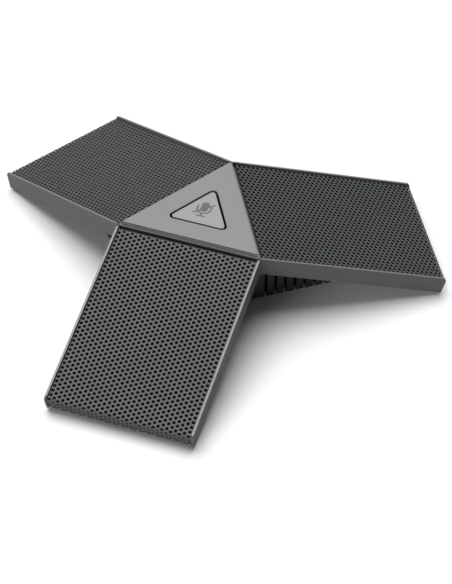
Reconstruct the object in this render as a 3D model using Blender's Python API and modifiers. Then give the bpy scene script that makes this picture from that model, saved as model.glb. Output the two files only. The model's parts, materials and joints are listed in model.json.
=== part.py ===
"""Three-armed conference speakerphone, built as an assembly of separate pieces.

Metres, +Z up. The origin is on the hub's axis, on the surface that the feet stand on.
The front arm points to -Y, and the other two at 30 and 150 degrees from +X.
In an arm, u runs outwards from the hub's axis, v across it and w out of its sloping top.
"""

import math

import bmesh
import bpy
from mathutils import Matrix

# Driving sizes of the arms and the hub
ARM_WIDTH = 0.0890
ARM_RUN = 0.1132  # length of an arm's top, seen from above
ARM_SLOPE = math.radians(16.9)
ARM_THICK = 0.0111
CORNER_GAP = 0.0024  # the hub's corner strip between two arms
TIP_CLEARANCE = 0.0012  # from the table to the tip's lower edge

# Walls and fits
GAP = 0.0003
RAIL_WIDTH = 0.0013
LEDGE_WIDTH = 0.0018
TIP_WALL = 0.0018
INNER_WALL = 0.0020
COVER_THICK = 0.0020

# Grille and the cloth behind it
GRILLE_RECESS = 0.0010
GRILLE_SIDE_GAP = 0.0005
GRILLE_THICK = 0.0008
GRILLE_FOLD_R = 0.0016
GRILLE_TIP_INSET = 0.0003
GRILLE_FLANGE_LIFT = 0.0006
CLOTH_THICK = 0.0004

# Hub plate, button and light ring
PLATE_INRADIUS = 0.0255
PLATE_RISE = 0.0022  # top of the plate above the arms' inner edges
PLATE_TOP_WALL = 0.0025
PLATE_SKIRT = 0.0020
PLATE_CORNER_R = 0.0010
PLATE_BORDER = 0.0013  # the sloping border round the plate's flat field
PLATE_BORDER_RISE = 0.0004  # that border's lower edge above the arms' inner edges
POST_DEPTH = 0.0015  # solid corner post between two arms
HUB_WALL = 0.0040
HUB_CORNER_WALL = 0.0080
DECK_DROP = 0.0026
DECK_THICK = 0.0020
BUTTON_HOLE_INRADIUS = 0.0116
BUTTON_HOLE_R = 0.0028
BUTTON_GROOVE = 0.0014
BUTTON_THICK = 0.0016
BUTTON_BOSS_R = 0.0040
BUTTON_POST_R = 0.0015
BUTTON_POST_AT = 0.0125
BUTTON_TRAVEL = 0.0005
RING_OVERLAP = 0.0022
RING_THICK = 0.0016

# Electronics under the deck
BOARD_RISE = 0.0004  # top of the board above the hub's underside
BOARD_THICK = 0.0016
BOARD_INRADIUS = 0.0215
BOARD_CORNER_AT = 0.0305
BOARD_SCREW_AT = 0.0170
BOARD_BOSS_R = 0.0026
SWITCH_SIZE = 0.0062
SWITCH_HEIGHT = 0.0035
PLUNGER_R = 0.0016
PLUNGER_REACH = 0.0013
SHIELD_SIZE = (0.0180, 0.0140, 0.0030)
SHIELD_WALL = 0.0004
JACK_SIZE = (0.0152, 0.0180, 0.0126)
JACK_MOUTH = (0.0118, 0.0120, 0.0084)
JACK_MOUTH_RISE = 0.0014

# Finned base
BASE_LIFT = 0.0010
BASE_FLOOR = 0.0025
BASE_CORNER_AT = 0.0383
KEEL_ROOT_U = 0.0247
KEEL_ROOT_HALF = 0.0299
KEEL_TAPER = math.radians(6.4)
KEEL_END_OUT = 0.0569  # from the arms' inner edges to the keel's end
KEEL_END_R = 0.0060
RIB_PITCH = 0.0061
RIB_SLOT = 0.0018
RIB_DEPTH = 0.0050
RIB_FIRST_U = 0.0329
BASE_WALL = 0.0018
PILLAR_R = 0.0042
PILLAR_OUT = 0.0481  # from the arms' inner edges to the pillar

# Feet
FOOT_THICK = 0.0013
FOOT_SINK = 0.0006
CENTRE_FOOT_R = 0.0180
KEEL_FOOT_U = 0.0590
KEEL_FOOT_SIZE = (0.0100, 0.0260)

# Loudspeaker, turned about its own axis: radii and heights above its mounting face
SPEAKER_OUT = 0.0229  # from the arms' inner edges to the loudspeaker
SPEAKER_FLANGE_R = 0.0200
SPEAKER_CUP_R = 0.0172
SPEAKER_FLANGE_THICK = 0.0012
SPEAKER_CUP_DEPTH = 0.0075
SPEAKER_CUP_BASE_R = 0.0105
SPEAKER_WALL = 0.0008
MAGNET_R = 0.0120
MAGNET_HEIGHT = 0.0060
SURROUND_INNER_R = 0.0140
SURROUND_OUTER_R = 0.0184
SURROUND_ROLL = 0.0013
CONE_COIL_R = 0.0055
CONE_DEPTH = 0.0040
CONE_THICK = 0.0005

# Microphone at the arm's tip
MIC_FROM_TIP = 0.0130
MIC_BOARD_SIZE = (0.0110, 0.0160, 0.0010)
MIC_CAPSULE_R = 0.0048
MIC_CAPSULE_HEIGHT = 0.0030
MIC_GASKET_WALL = 0.0014

# Flat ribbon cable from the microphone to the hub
RIBBON_WIDTH = 0.0040
RIBBON_THICK = 0.0004
RIBBON_V = 0.0270

# Screws
SCREW_R = 0.0014
SCREW_HEAD_R = 0.0027
SCREW_HEAD_HEIGHT = 0.0018
SMALL_SCREW_R = 0.0009
SMALL_HEAD_R = 0.0018
SMALL_HEAD_HEIGHT = 0.0010
COVER_SCREW_FROM_TIP = 0.0085
COVER_SCREW_V = 0.0350
COVER_BOSS = 0.0080

ROUND_STEPS = 24
SMALL_ROUND_STEPS = 12
SMALL_ROUND_R = 0.0035  # up to this radius a round piece or hole has fewer sides
ARC_STEPS = 4
FAR = 0.0100  # how far a cutter reaches past what it cuts

# Worked out from the sizes above
HALF = ARM_WIDTH / 2
HUB_U = (ARM_WIDTH + 2 * CORNER_GAP) / (2 * math.sqrt(3))
KEEL_END_U = HUB_U + KEEL_END_OUT
PILLAR_U = HUB_U + PILLAR_OUT
ARM_LENGTH = ARM_RUN / math.cos(ARM_SLOPE)
ARM_DROP = ARM_RUN * math.tan(ARM_SLOPE)
TOP_Z = TIP_CLEARANCE + ARM_THICK * math.cos(ARM_SLOPE) + ARM_DROP
HUB_UNDER_Z = TOP_Z - ARM_THICK / math.cos(ARM_SLOPE)
POCKET_HALF = HALF - RAIL_WIDTH
GRILLE_HALF = POCKET_HALF - GRILLE_SIDE_GAP
CAVITY_HALF = POCKET_HALF - LEDGE_WIDTH
CLOTH_W = -(GRILLE_RECESS + GRILLE_THICK + GAP)
POCKET_W = CLOTH_W - CLOTH_THICK - GAP
FLANGE_S = ARM_LENGTH - GRILLE_TIP_INSET
TIP_WALL_S = FLANGE_S - GRILLE_THICK - GAP
CAVITY_END_S = TIP_WALL_S - TIP_WALL
COVER_W = -ARM_THICK + COVER_THICK
PLATE_Z = TOP_Z + PLATE_RISE
DECK_Z = TOP_Z - DECK_DROP
DECK_UNDER_Z = DECK_Z - DECK_THICK
CORNER_AT = 2 * HUB_U - CORNER_GAP * math.sqrt(3) / 2
BOARD_Z = HUB_UNDER_Z + BOARD_RISE
BOARD_UNDER_Z = BOARD_Z - BOARD_THICK
SWITCH_Z = BOARD_Z + GAP
SWITCH_TOP_Z = SWITCH_Z + SWITCH_HEIGHT
PLUNGER_TOP_Z = SWITCH_TOP_Z + PLUNGER_REACH
BASE_TOP_Z = HUB_UNDER_Z - GAP
BUTTON_INRADIUS = BUTTON_HOLE_INRADIUS - BUTTON_GROOVE
BUTTON_R = BUTTON_HOLE_R - BUTTON_GROOVE
JACK_Z = BOARD_UNDER_Z - GAP - JACK_SIZE[2]
JACK_FACE_Y = BASE_CORNER_AT - BASE_WALL / 2

ARMS = {"front": -90, "right": 30, "left": 150}
HUB_CORNERS = (-30, 90, 210)

for stale in list(bpy.data.objects):
    bpy.data.objects.remove(stale)

PARTS = bpy.data.collections.new("conference_speakerphone")
CUTTERS = bpy.data.collections.new("cutters")
CUTTERS.hide_render = True
bpy.context.scene.collection.children.link(PARTS)
bpy.context.scene.collection.children.link(CUTTERS)


def finish(name, colour, roughness, metallic=0.0):
    """A Principled BSDF material."""
    material = bpy.data.materials.new(name)
    material.use_nodes = True
    shader = material.node_tree.nodes["Principled BSDF"]
    shader.inputs["Base Color"].default_value = (*colour, 1)
    shader.inputs["Roughness"].default_value = roughness
    shader.inputs["Metallic"].default_value = metallic
    return material


HOUSING = finish("housing_grey", (0.16, 0.165, 0.165), 0.45)
PLATE = finish("plate_grey", (0.30, 0.30, 0.30), 0.5)
BUTTON = finish("button_grey", (0.36, 0.36, 0.36), 0.5)
LIGHT_GUIDE = finish("light_guide", (0.05, 0.05, 0.05), 0.3)
STEEL = finish("grille_steel", (0.22, 0.24, 0.24), 0.4, 0.6)
CLOTH = finish("acoustic_cloth", (0.01, 0.01, 0.01), 0.95)
BLACK = finish("base_black", (0.015, 0.015, 0.015), 0.55)
RUBBER = finish("foot_rubber", (0.02, 0.02, 0.02), 0.9)
CIRCUIT = finish("circuit_board", (0.02, 0.11, 0.05), 0.5)
BRIGHT = finish("bright_steel", (0.6, 0.6, 0.6), 0.3, 1.0)
CONE = finish("cone_paper", (0.03, 0.03, 0.03), 0.85)
AMBER = finish("ribbon_film", (0.35, 0.17, 0.03), 0.4)


def place(name, mesh, material, parent=None, matrix=None):
    """Makes a mesh into an object: a part if it has a material, a cutter if it hasn't."""
    obj = bpy.data.objects.new(name, mesh)
    if material:
        PARTS.objects.link(obj)
        mesh.materials.append(material)
    else:
        CUTTERS.objects.link(obj)
        obj.hide_render = True
        obj.display_type = "WIRE"
    obj.parent = parent
    if matrix:
        obj.matrix_local = matrix
    return obj


def empty(name, matrix, parent=None):
    obj = bpy.data.objects.new(name, None)
    PARTS.objects.link(obj)
    obj.parent = parent
    obj.matrix_local = matrix
    return obj


def outline_mesh(points, thickness):
    """A flat outline in XY, as thick as asked and centred on its plane."""
    curve = bpy.data.curves.new("outline", "CURVE")
    curve.dimensions = "2D"
    curve.fill_mode = "BOTH"
    curve.extrude = thickness / 2
    spline = curve.splines.new("POLY")
    spline.points.add(len(points) - 1)
    for slot, (x, y) in zip(spline.points, points):
        slot.co = (x, y, 0, 1)
    spline.use_cyclic_u = True
    guide = bpy.data.objects.new("outline", curve)
    bpy.context.scene.collection.objects.link(guide)
    graph = bpy.context.evaluated_depsgraph_get()
    mesh = bpy.data.meshes.new_from_object(guide.evaluated_get(graph))
    bpy.data.objects.remove(guide)
    work = bmesh.new()
    work.from_mesh(mesh)
    bmesh.ops.remove_doubles(work, verts=work.verts, dist=1e-6)
    bmesh.ops.recalc_face_normals(work, faces=work.faces)
    work.to_mesh(mesh)
    work.free()
    return mesh


def slab(name, points, low, high, material=None, parent=None, shift=(0, 0)):
    """An outline in plan, from one height to another."""
    matrix = Matrix.Translation((*shift, (low + high) / 2))
    return place(name, outline_mesh(points, high - low), material, parent, matrix)


def stacked(name, layers, material=None):
    """A solid through outlines in plan, each with its height, that have as many points each."""
    mesh = bpy.data.meshes.new(name)
    work = bmesh.new()
    rings = [[work.verts.new((x, y, z)) for x, y in points] for points, z in layers]
    for lower, upper in zip(rings, rings[1:]):
        for i, corner in enumerate(lower):
            following = (i + 1) % len(lower)
            work.faces.new((corner, lower[following], upper[following], upper[i]))
    work.faces.new(rings[0])
    work.faces.new(rings[-1])
    bmesh.ops.recalc_face_normals(work, faces=work.faces)
    work.to_mesh(mesh)
    work.free()
    return place(name, mesh, material)


def side_cut(name, points, half, material=None, parent=None, v=0.0):
    """An outline in u and z, standing across an arm and reaching half each way from v."""
    matrix = Matrix.Translation((0, v, 0)) @ Matrix.Rotation(math.pi / 2, 4, "X")
    return place(name, outline_mesh(points, 2 * half), material, parent, matrix)


def box(name, size, centre, material=None, parent=None):
    mesh = bpy.data.meshes.new(name)
    work = bmesh.new()
    bmesh.ops.create_cube(work, size=1, matrix=Matrix.Diagonal((*size, 1)))
    work.to_mesh(mesh)
    work.free()
    return place(name, mesh, material, parent, Matrix.Translation(centre))


def round_steps(radius):
    return SMALL_ROUND_STEPS if radius <= SMALL_ROUND_R else ROUND_STEPS


def rod(name, radius, low, high, material=None, parent=None, at=(0, 0)):
    mesh = bpy.data.meshes.new(name)
    work = bmesh.new()
    bmesh.ops.create_cone(work, cap_ends=True, segments=round_steps(radius), radius1=radius,
                          radius2=radius, depth=high - low)
    work.to_mesh(mesh)
    work.free()
    smooth(mesh)
    matrix = Matrix.Translation((*at, (low + high) / 2))
    return place(name, mesh, material, parent, matrix)


def turned(name, profile, material=None, parent=None, at=(0, 0, 0)):
    """A closed profile of radius and height, running down its outer side, turned about Z."""
    mesh = bpy.data.meshes.new(name)
    points = [(radius, 0, height) for radius, height in profile]
    ends = [(i, (i + 1) % len(points)) for i in range(len(points))]
    if profile[0][0] == 0:
        ends.pop()
    mesh.from_pydata(points, ends, [])
    obj = place(name, mesh, material, parent, Matrix.Translation(at))
    screw = obj.modifiers.new("turn", "SCREW")
    screw.steps = screw.render_steps = round_steps(max(radius for radius, _ in profile))
    screw.use_merge_vertices = True
    screw.merge_threshold = 1e-5
    screw.use_smooth_shade = True
    return obj


def smooth(mesh):
    mesh.shade_smooth()
    mesh.set_sharp_from_angle(angle=math.radians(35))


def combine(obj, operation, others):
    for other in others:
        boolean = obj.modifiers.new(operation.lower(), "BOOLEAN")
        boolean.operation = operation
        boolean.solver = "EXACT"
        boolean.object = other


def cut(obj, *others):
    combine(obj, "DIFFERENCE", others)


def join(obj, *others):
    combine(obj, "UNION", others)


def slope_point(s, w):
    """The u and z of a point s along an arm's top and w above it."""
    u = HUB_U + s * math.cos(ARM_SLOPE) + w * math.sin(ARM_SLOPE)
    return u, TOP_Z - s * math.sin(ARM_SLOPE) + w * math.cos(ARM_SLOPE)


def upright_at(u, w):
    """The point at u on the plane that lies w above an arm's top."""
    s = (u - HUB_U - w * math.sin(ARM_SLOPE)) / math.cos(ARM_SLOPE)
    return slope_point(s, w)


def slope_place(s, w):
    """A place on an arm at s and w, with its Z out of the arm's top."""
    u, z = slope_point(s, w)
    return Matrix.Translation((u, 0, z)) @ Matrix.Rotation(ARM_SLOPE, 4, "Y")


def turn(point, degrees):
    angle = math.radians(degrees)
    x, y = point
    return (x * math.cos(angle) - y * math.sin(angle), x * math.sin(angle) + y * math.cos(angle))


def arc(centre, radius, start, end):
    steps = [start + (end - start) * i / ARC_STEPS for i in range(ARC_STEPS + 1)]
    return [(centre[0] + radius * math.cos(math.radians(a)),
             centre[1] + radius * math.sin(math.radians(a))) for a in steps]


def round_triangle(inradius, radius):
    """A triangle with a corner towards +Y and each corner rounded."""
    points = []
    for corner in HUB_CORNERS:
        centre = turn((2 * (inradius - radius), 0), corner)
        points += arc(centre, radius, corner - 60, corner + 60)
    return points


def cut_triangle(inradius, corner_at):
    """A triangle with a corner towards +Y, each corner cut off square at corner_at."""
    reach = (corner_at - inradius / 2) / math.cos(math.radians(30))
    points = []
    for direction in ARMS.values():
        points += [turn((inradius, -reach), direction), turn((inradius, reach), direction)]
    return points


def keel_half(u, inset=0.0):
    """Half the keel's width at u, inside a wall as thick as inset."""
    taper = (u - KEEL_ROOT_U) * math.tan(KEEL_TAPER)
    return KEEL_ROOT_HALF - taper - inset / math.cos(KEEL_TAPER)


def base_outline(inset=0.0, end_r=KEEL_END_R):
    """The base's outline in plan: three tapering keels joined by short corner walls."""
    sine, cosine = math.sin(math.radians(60)), math.cos(math.radians(60))
    # Where a keel's straight side meets the corner wall
    corner_less_side = BASE_CORNER_AT - inset - sine * keel_half(0, inset)
    root = corner_less_side / (cosine - sine * math.tan(KEEL_TAPER))
    end = KEEL_END_U - inset
    points = []
    for direction in ARMS.values():
        side = [(root, keel_half(root, inset))]
        side += reversed(arc((end - end_r, keel_half(end, inset) - end_r), end_r, 0, 90))
        keel = [(u, -v) for u, v in side] + list(reversed(side))
        points += [turn(point, direction) for point in keel]
    return points


arm_frames = {
    name: empty(f"arm_{name}", Matrix.Rotation(math.radians(direction), 4, "Z"))
    for name, direction in ARMS.items()
}

# ---- Top housing: three open trays on a hub with a deck ----

tip_top = slope_point(ARM_LENGTH, 0)
tip_under = slope_point(ARM_LENGTH, -ARM_THICK)
root_u = HUB_U - 3 * RAIL_WIDTH
tray_outline = [
    (root_u, HUB_UNDER_Z + RAIL_WIDTH), (HUB_U, HUB_UNDER_Z), tip_under,
    tip_top, (HUB_U, TOP_Z), (root_u, TOP_Z - RAIL_WIDTH),
]
hub_outline = []
for hub_direction in ARMS.values():
    hub_half = HALF - GAP / 2
    hub_outline += [turn((HUB_U - GAP, v), hub_direction) for v in (-hub_half, hub_half)]
# The hub block stays a hair inside the trays' faces, so that no two of their faces coincide.
housing = slab("top_housing", hub_outline, HUB_UNDER_Z + GAP / 6, TOP_Z - GAP / 6, HOUSING)

pocket_outline = [
    upright_at(HUB_U - INNER_WALL / 2, FAR), upright_at(HUB_U - INNER_WALL / 2, POCKET_W),
    slope_point(TIP_WALL_S, POCKET_W), slope_point(TIP_WALL_S, -ARM_THICK - FAR),
    slope_point(ARM_LENGTH + FAR, -ARM_THICK - FAR), slope_point(ARM_LENGTH + FAR, FAR),
]
cavity_outline = [
    upright_at(HUB_U + INNER_WALL, FAR), upright_at(HUB_U + INNER_WALL, -ARM_THICK - FAR),
    slope_point(CAVITY_END_S, -ARM_THICK - FAR), slope_point(CAVITY_END_S, FAR),
]
boss_s = ARM_LENGTH - COVER_SCREW_FROM_TIP
boss_low_s = boss_s - COVER_BOSS / 2
boss_high_s = CAVITY_END_S + TIP_WALL / 2
boss_inner_v = COVER_SCREW_V - COVER_BOSS / 2
boss_outer_v = CAVITY_HALF + LEDGE_WIDTH / 2
boss_w = (POCKET_W + COVER_W) / 2
boss_height = POCKET_W - COVER_W - 2 * GAP
for arm, frame in arm_frames.items():
    join(housing, side_cut(f"tray_{arm}", tray_outline, HALF, parent=frame))
for arm, frame in arm_frames.items():
    cut(housing,
        side_cut(f"pocket_{arm}", pocket_outline, POCKET_HALF, parent=frame),
        side_cut(f"cavity_{arm}", cavity_outline, CAVITY_HALF, parent=frame))
cut(housing,
    slab("plate_pocket", cut_triangle(HUB_U + GAP / 2, CORNER_AT - POST_DEPTH), DECK_Z, TOP_Z + FAR),
    slab("hub_cavity", cut_triangle(HUB_U - HUB_WALL, CORNER_AT - HUB_CORNER_WALL),
         HUB_UNDER_Z - FAR, DECK_UNDER_Z),
    rod("boss_hole", BUTTON_BOSS_R + 3 * GAP, DECK_UNDER_Z - FAR, DECK_Z + FAR))
for hub_corner in HUB_CORNERS:
    post_at = turn((BUTTON_POST_AT, 0), hub_corner)
    cut(housing, rod("post_hole", BUTTON_POST_R + GAP, DECK_UNDER_Z - FAR, DECK_Z + FAR, at=post_at))
for arm, frame in arm_frames.items():
    tip_frame = empty(f"tip_{arm}", slope_place(boss_s, 0), frame)
    boss_size = (boss_high_s - boss_low_s, boss_outer_v - boss_inner_v, boss_height)
    for side in (-1, 1):
        boss_v = side * (boss_inner_v + boss_outer_v) / 2
        boss_centre = ((boss_low_s + boss_high_s) / 2 - boss_s, boss_v, boss_w)
        join(housing, box(f"cover_boss_{arm}", boss_size, boss_centre, parent=tip_frame))
        cut(housing, rod("cover_boss_hole", SMALL_SCREW_R + GAP, -ARM_THICK - FAR,
                         POCKET_W - 3 * GAP, parent=tip_frame, at=(0, side * COVER_SCREW_V)))
    boss_at = (BOARD_SCREW_AT, 0)
    join(housing, rod("board_boss", BOARD_BOSS_R, BOARD_Z + GAP, DECK_Z - DECK_THICK / 2, parent=frame,
                      at=boss_at))
    cut(housing, rod("board_boss_hole", SMALL_SCREW_R + GAP, BOARD_Z - FAR, DECK_UNDER_Z - GAP,
                     parent=frame, at=boss_at))

# ---- Grilles, cloth and underside covers ----

flange_end_w = -ARM_THICK + GRILLE_FLANGE_LIFT


def folded_sheet(outer_w, tip_s, thick, fold_r, end_w, root):
    """Side outline of a sheet that lies along an arm and folds down over its tip."""
    outer = [slope_point(tip_s - fold_r + fold_r * math.sin(math.radians(a)),
                         outer_w - fold_r + fold_r * math.cos(math.radians(a)))
             for a in range(0, 91, 90 // ARC_STEPS)]
    inner_r = max(fold_r - thick, 0)
    inner = [slope_point(tip_s - fold_r + inner_r * math.sin(math.radians(a)),
                         outer_w - fold_r + inner_r * math.cos(math.radians(a)))
             for a in range(90, -1, -90 // ARC_STEPS)]
    return ([upright_at(root, outer_w)] + outer + [slope_point(tip_s, end_w)]
            + [slope_point(tip_s - thick, end_w)] + inner + [upright_at(root, outer_w - thick)])


grille_outline = folded_sheet(-GRILLE_RECESS, FLANGE_S, GRILLE_THICK, GRILLE_FOLD_R, flange_end_w,
                              HUB_U + GAP)
cloth_outline = [
    upright_at(HUB_U + GAP, CLOTH_W), upright_at(HUB_U + GAP, CLOTH_W - CLOTH_THICK),
    slope_point(TIP_WALL_S - GAP, CLOTH_W - CLOTH_THICK), slope_point(TIP_WALL_S - GAP, CLOTH_W),
]
cover_outline = [
    upright_at(HUB_U + INNER_WALL + GAP, COVER_W), upright_at(HUB_U + INNER_WALL + GAP, -ARM_THICK),
    slope_point(CAVITY_END_S - GAP, -ARM_THICK), slope_point(CAVITY_END_S - GAP, COVER_W),
]
speaker_s = (SPEAKER_OUT - COVER_W * math.sin(ARM_SLOPE)) / math.cos(ARM_SLOPE)
screw_boss_top_w = POCKET_W - 5 * GAP
boss_trim_top = [
    upright_at(HUB_U, screw_boss_top_w), upright_at(KEEL_END_U, screw_boss_top_w),
    upright_at(KEEL_END_U, 3 * FAR), upright_at(HUB_U, 3 * FAR),
]
boss_foot_w = -ARM_THICK + COVER_THICK / 2
boss_trim_under = [
    upright_at(HUB_U, boss_foot_w), upright_at(HUB_U, -ARM_THICK - 6 * FAR),
    upright_at(KEEL_END_U + FAR, -ARM_THICK - 6 * FAR), upright_at(KEEL_END_U + FAR, boss_foot_w),
]
cover_screw_top_w = POCKET_W - 6 * GAP
cover_head_w = -ARM_THICK + SMALL_HEAD_HEIGHT
pillar_at = (PILLAR_U, 0)
for arm, frame in arm_frames.items():
    side_cut(f"grille_{arm}", grille_outline, GRILLE_HALF, STEEL, frame)
    side_cut(f"grille_cloth_{arm}", cloth_outline, POCKET_HALF - GAP, CLOTH, frame)
    cover = side_cut(f"arm_cover_{arm}", cover_outline, CAVITY_HALF - GAP, BLACK, frame)
    speaker_frame = empty(f"speaker_{arm}", slope_place(speaker_s, COVER_W), frame)
    cover_tip_frame = empty(f"cover_tip_{arm}", slope_place(boss_s, 0), frame)
    screw_boss = rod("screw_boss", PILLAR_R, HUB_UNDER_Z - ARM_DROP, TOP_Z, parent=frame, at=pillar_at)
    cut(screw_boss,
        side_cut("boss_trim_top", boss_trim_top, HALF, parent=frame),
        side_cut("boss_trim_under", boss_trim_under, HALF, parent=frame))
    join(cover, screw_boss)
    cut(cover,
        rod("speaker_hole", SPEAKER_CUP_R + GAP, -FAR, FAR / 5, parent=speaker_frame),
        rod("base_screw_hole", SCREW_R + GAP, 0, TOP_Z - FAR / 2, parent=frame, at=pillar_at))
    for side, letter in ((-1, "a"), (1, "b")):
        at = (0, side * COVER_SCREW_V)
        cut(cover,
            rod("cover_screw_hole", SMALL_SCREW_R + GAP, -ARM_THICK - FAR, 0, parent=cover_tip_frame, at=at),
            rod("cover_screw_seat", SMALL_HEAD_R + GAP, -ARM_THICK - FAR, cover_head_w + GAP,
                parent=cover_tip_frame, at=at))
        turned(f"cover_screw_{arm}_{letter}",
               [(0, cover_screw_top_w), (SMALL_SCREW_R, cover_screw_top_w), (SMALL_SCREW_R, cover_head_w),
                (SMALL_HEAD_R, cover_head_w), (SMALL_HEAD_R, -ARM_THICK), (0, -ARM_THICK)],
               BRIGHT, cover_tip_frame, (*at, 0))

# ---- Loudspeakers: a cup and magnet behind, a surround and a cone in front ----

rim_z = GAP + SPEAKER_FLANGE_THICK
cup_z = GAP - SPEAKER_CUP_DEPTH
for arm, frame in arm_frames.items():
    speaker_frame = bpy.data.objects[f"speaker_{arm}"]
    turned(f"speaker_basket_{arm}",
           [(SURROUND_INNER_R, rim_z), (SPEAKER_FLANGE_R, rim_z), (SPEAKER_FLANGE_R, GAP),
            (SPEAKER_CUP_R, GAP), (SPEAKER_CUP_BASE_R, cup_z), (CONE_COIL_R + GAP, cup_z),
            (CONE_COIL_R + GAP, cup_z + SPEAKER_WALL),
            (SPEAKER_CUP_BASE_R - SPEAKER_WALL, cup_z + SPEAKER_WALL), (SURROUND_INNER_R, GAP)],
           BRIGHT, speaker_frame)
    turned(f"speaker_magnet_{arm}",
           [(0, cup_z - GAP), (MAGNET_R, cup_z - GAP), (MAGNET_R, cup_z - GAP - MAGNET_HEIGHT),
            (0, cup_z - GAP - MAGNET_HEIGHT)],
           BRIGHT, speaker_frame)
    surround_z = rim_z + GAP
    mid_r = (SURROUND_INNER_R + SURROUND_OUTER_R) / 2
    turned(f"speaker_surround_{arm}",
           [(SURROUND_INNER_R, surround_z + CONE_THICK),
            (mid_r - SURROUND_ROLL / 2, surround_z + SURROUND_ROLL),
            (mid_r + SURROUND_ROLL / 2, surround_z + SURROUND_ROLL),
            (SURROUND_OUTER_R, surround_z + CONE_THICK),
            (SURROUND_OUTER_R, surround_z), (SURROUND_INNER_R, surround_z)],
           RUBBER, speaker_frame)
    cone_r = SURROUND_INNER_R - GAP
    cone_z = surround_z + CONE_THICK
    dish_z = cone_z - CONE_DEPTH
    turned(f"speaker_cone_{arm}",
           [(0, dish_z + 2 * CONE_THICK), (CONE_COIL_R, dish_z + CONE_THICK), (cone_r, cone_z),
            (cone_r, cone_z - CONE_THICK), (CONE_COIL_R, dish_z - CONE_THICK), (0, dish_z)],
           CONE, speaker_frame)

# ---- Microphones and their ribbon cables ----

mic_s = ARM_LENGTH - MIC_FROM_TIP
mic_board_w = COVER_W + GAP + MIC_BOARD_SIZE[2] / 2
capsule_w = COVER_W + 2 * GAP + MIC_BOARD_SIZE[2]
ribbon_w = COVER_W + GAP
for arm, frame in arm_frames.items():
    mic_frame = empty(f"mic_{arm}", slope_place(mic_s, 0), frame)
    box(f"mic_board_{arm}", MIC_BOARD_SIZE, (0, 0, mic_board_w), CIRCUIT, mic_frame)
    rod(f"mic_capsule_{arm}", MIC_CAPSULE_R, capsule_w, capsule_w + MIC_CAPSULE_HEIGHT, BRIGHT, mic_frame)
    gasket_in = MIC_CAPSULE_R + GAP
    gasket_out = gasket_in + MIC_GASKET_WALL
    gasket_top = capsule_w + MIC_CAPSULE_HEIGHT + GAP
    turned(f"mic_gasket_{arm}",
           [(gasket_in, gasket_top), (gasket_out, gasket_top), (gasket_out, capsule_w + GAP),
            (gasket_in, capsule_w + GAP)], RUBBER, mic_frame)
    ribbon_start = slope_point(mic_s, 0)[0] - slope_point(0, 0)[0]
    ribbon_end = -ribbon_start + 2 * INNER_WALL
    edge_v = MIC_BOARD_SIZE[1] / 2 + GAP
    near = -RIBBON_WIDTH / 2
    ribbon_outline = [
        (near, edge_v), (near + RIBBON_WIDTH, edge_v), (near + RIBBON_WIDTH, RIBBON_V + RIBBON_WIDTH),
        (ribbon_end, RIBBON_V + RIBBON_WIDTH), (ribbon_end, RIBBON_V), (near, RIBBON_V),
    ]
    slab(f"mic_ribbon_{arm}", ribbon_outline, ribbon_w, ribbon_w + RIBBON_THICK, AMBER, mic_frame)

# ---- Hub plate, light ring, button ----

plate_edge = round_triangle(PLATE_INRADIUS, PLATE_CORNER_R)
plate_field = round_triangle(PLATE_INRADIUS - PLATE_BORDER, PLATE_CORNER_R)
plate = stacked("hub_plate", [(plate_edge, DECK_Z + GAP), (plate_edge, TOP_Z + PLATE_BORDER_RISE),
                              (plate_field, PLATE_Z)], PLATE)
cut(plate,
    slab("plate_hollow", round_triangle(PLATE_INRADIUS - PLATE_SKIRT, PLATE_CORNER_R),
         DECK_Z - FAR, PLATE_Z - PLATE_TOP_WALL),
    slab("button_hole", round_triangle(BUTTON_HOLE_INRADIUS, BUTTON_HOLE_R), DECK_Z, PLATE_Z + FAR))

ring_top_z = PLATE_Z - PLATE_TOP_WALL - GAP
ring_outer = round_triangle(BUTTON_HOLE_INRADIUS + RING_OVERLAP, BUTTON_HOLE_R + RING_OVERLAP)
ring_inner = round_triangle(BUTTON_INRADIUS - RING_OVERLAP / 2, BUTTON_R)
ring = slab("mute_light_ring", ring_outer, ring_top_z - RING_THICK, ring_top_z, LIGHT_GUIDE)
cut(ring, slab("ring_hole", ring_inner, DECK_Z - FAR, PLATE_Z))

button_low_z = PLATE_Z - BUTTON_THICK
button = slab("mute_button", round_triangle(BUTTON_INRADIUS, BUTTON_R), button_low_z, PLATE_Z, BUTTON)
join(button, rod("button_boss", BUTTON_BOSS_R, PLUNGER_TOP_Z + GAP, button_low_z + BUTTON_THICK / 2))
for hub_corner in HUB_CORNERS:
    post_at = turn((BUTTON_POST_AT, 0), hub_corner)
    join(button, rod("button_post", BUTTON_POST_R, DECK_UNDER_Z - 3 * GAP, button_low_z + BUTTON_THICK / 2,
                     at=post_at))

# ---- Switch, main board, shield can and network socket ----

switch = box("mute_switch", (SWITCH_SIZE, SWITCH_SIZE, SWITCH_HEIGHT),
             (0, 0, SWITCH_Z + SWITCH_HEIGHT / 2), BLACK)
plunger_low_z = SWITCH_TOP_Z - 2 * BUTTON_TRAVEL
cut(switch, rod("plunger_bore", PLUNGER_R + GAP, plunger_low_z - BUTTON_TRAVEL - GAP, SWITCH_TOP_Z + FAR))
rod("switch_plunger", PLUNGER_R, plunger_low_z, PLUNGER_TOP_Z, PLATE)

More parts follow.
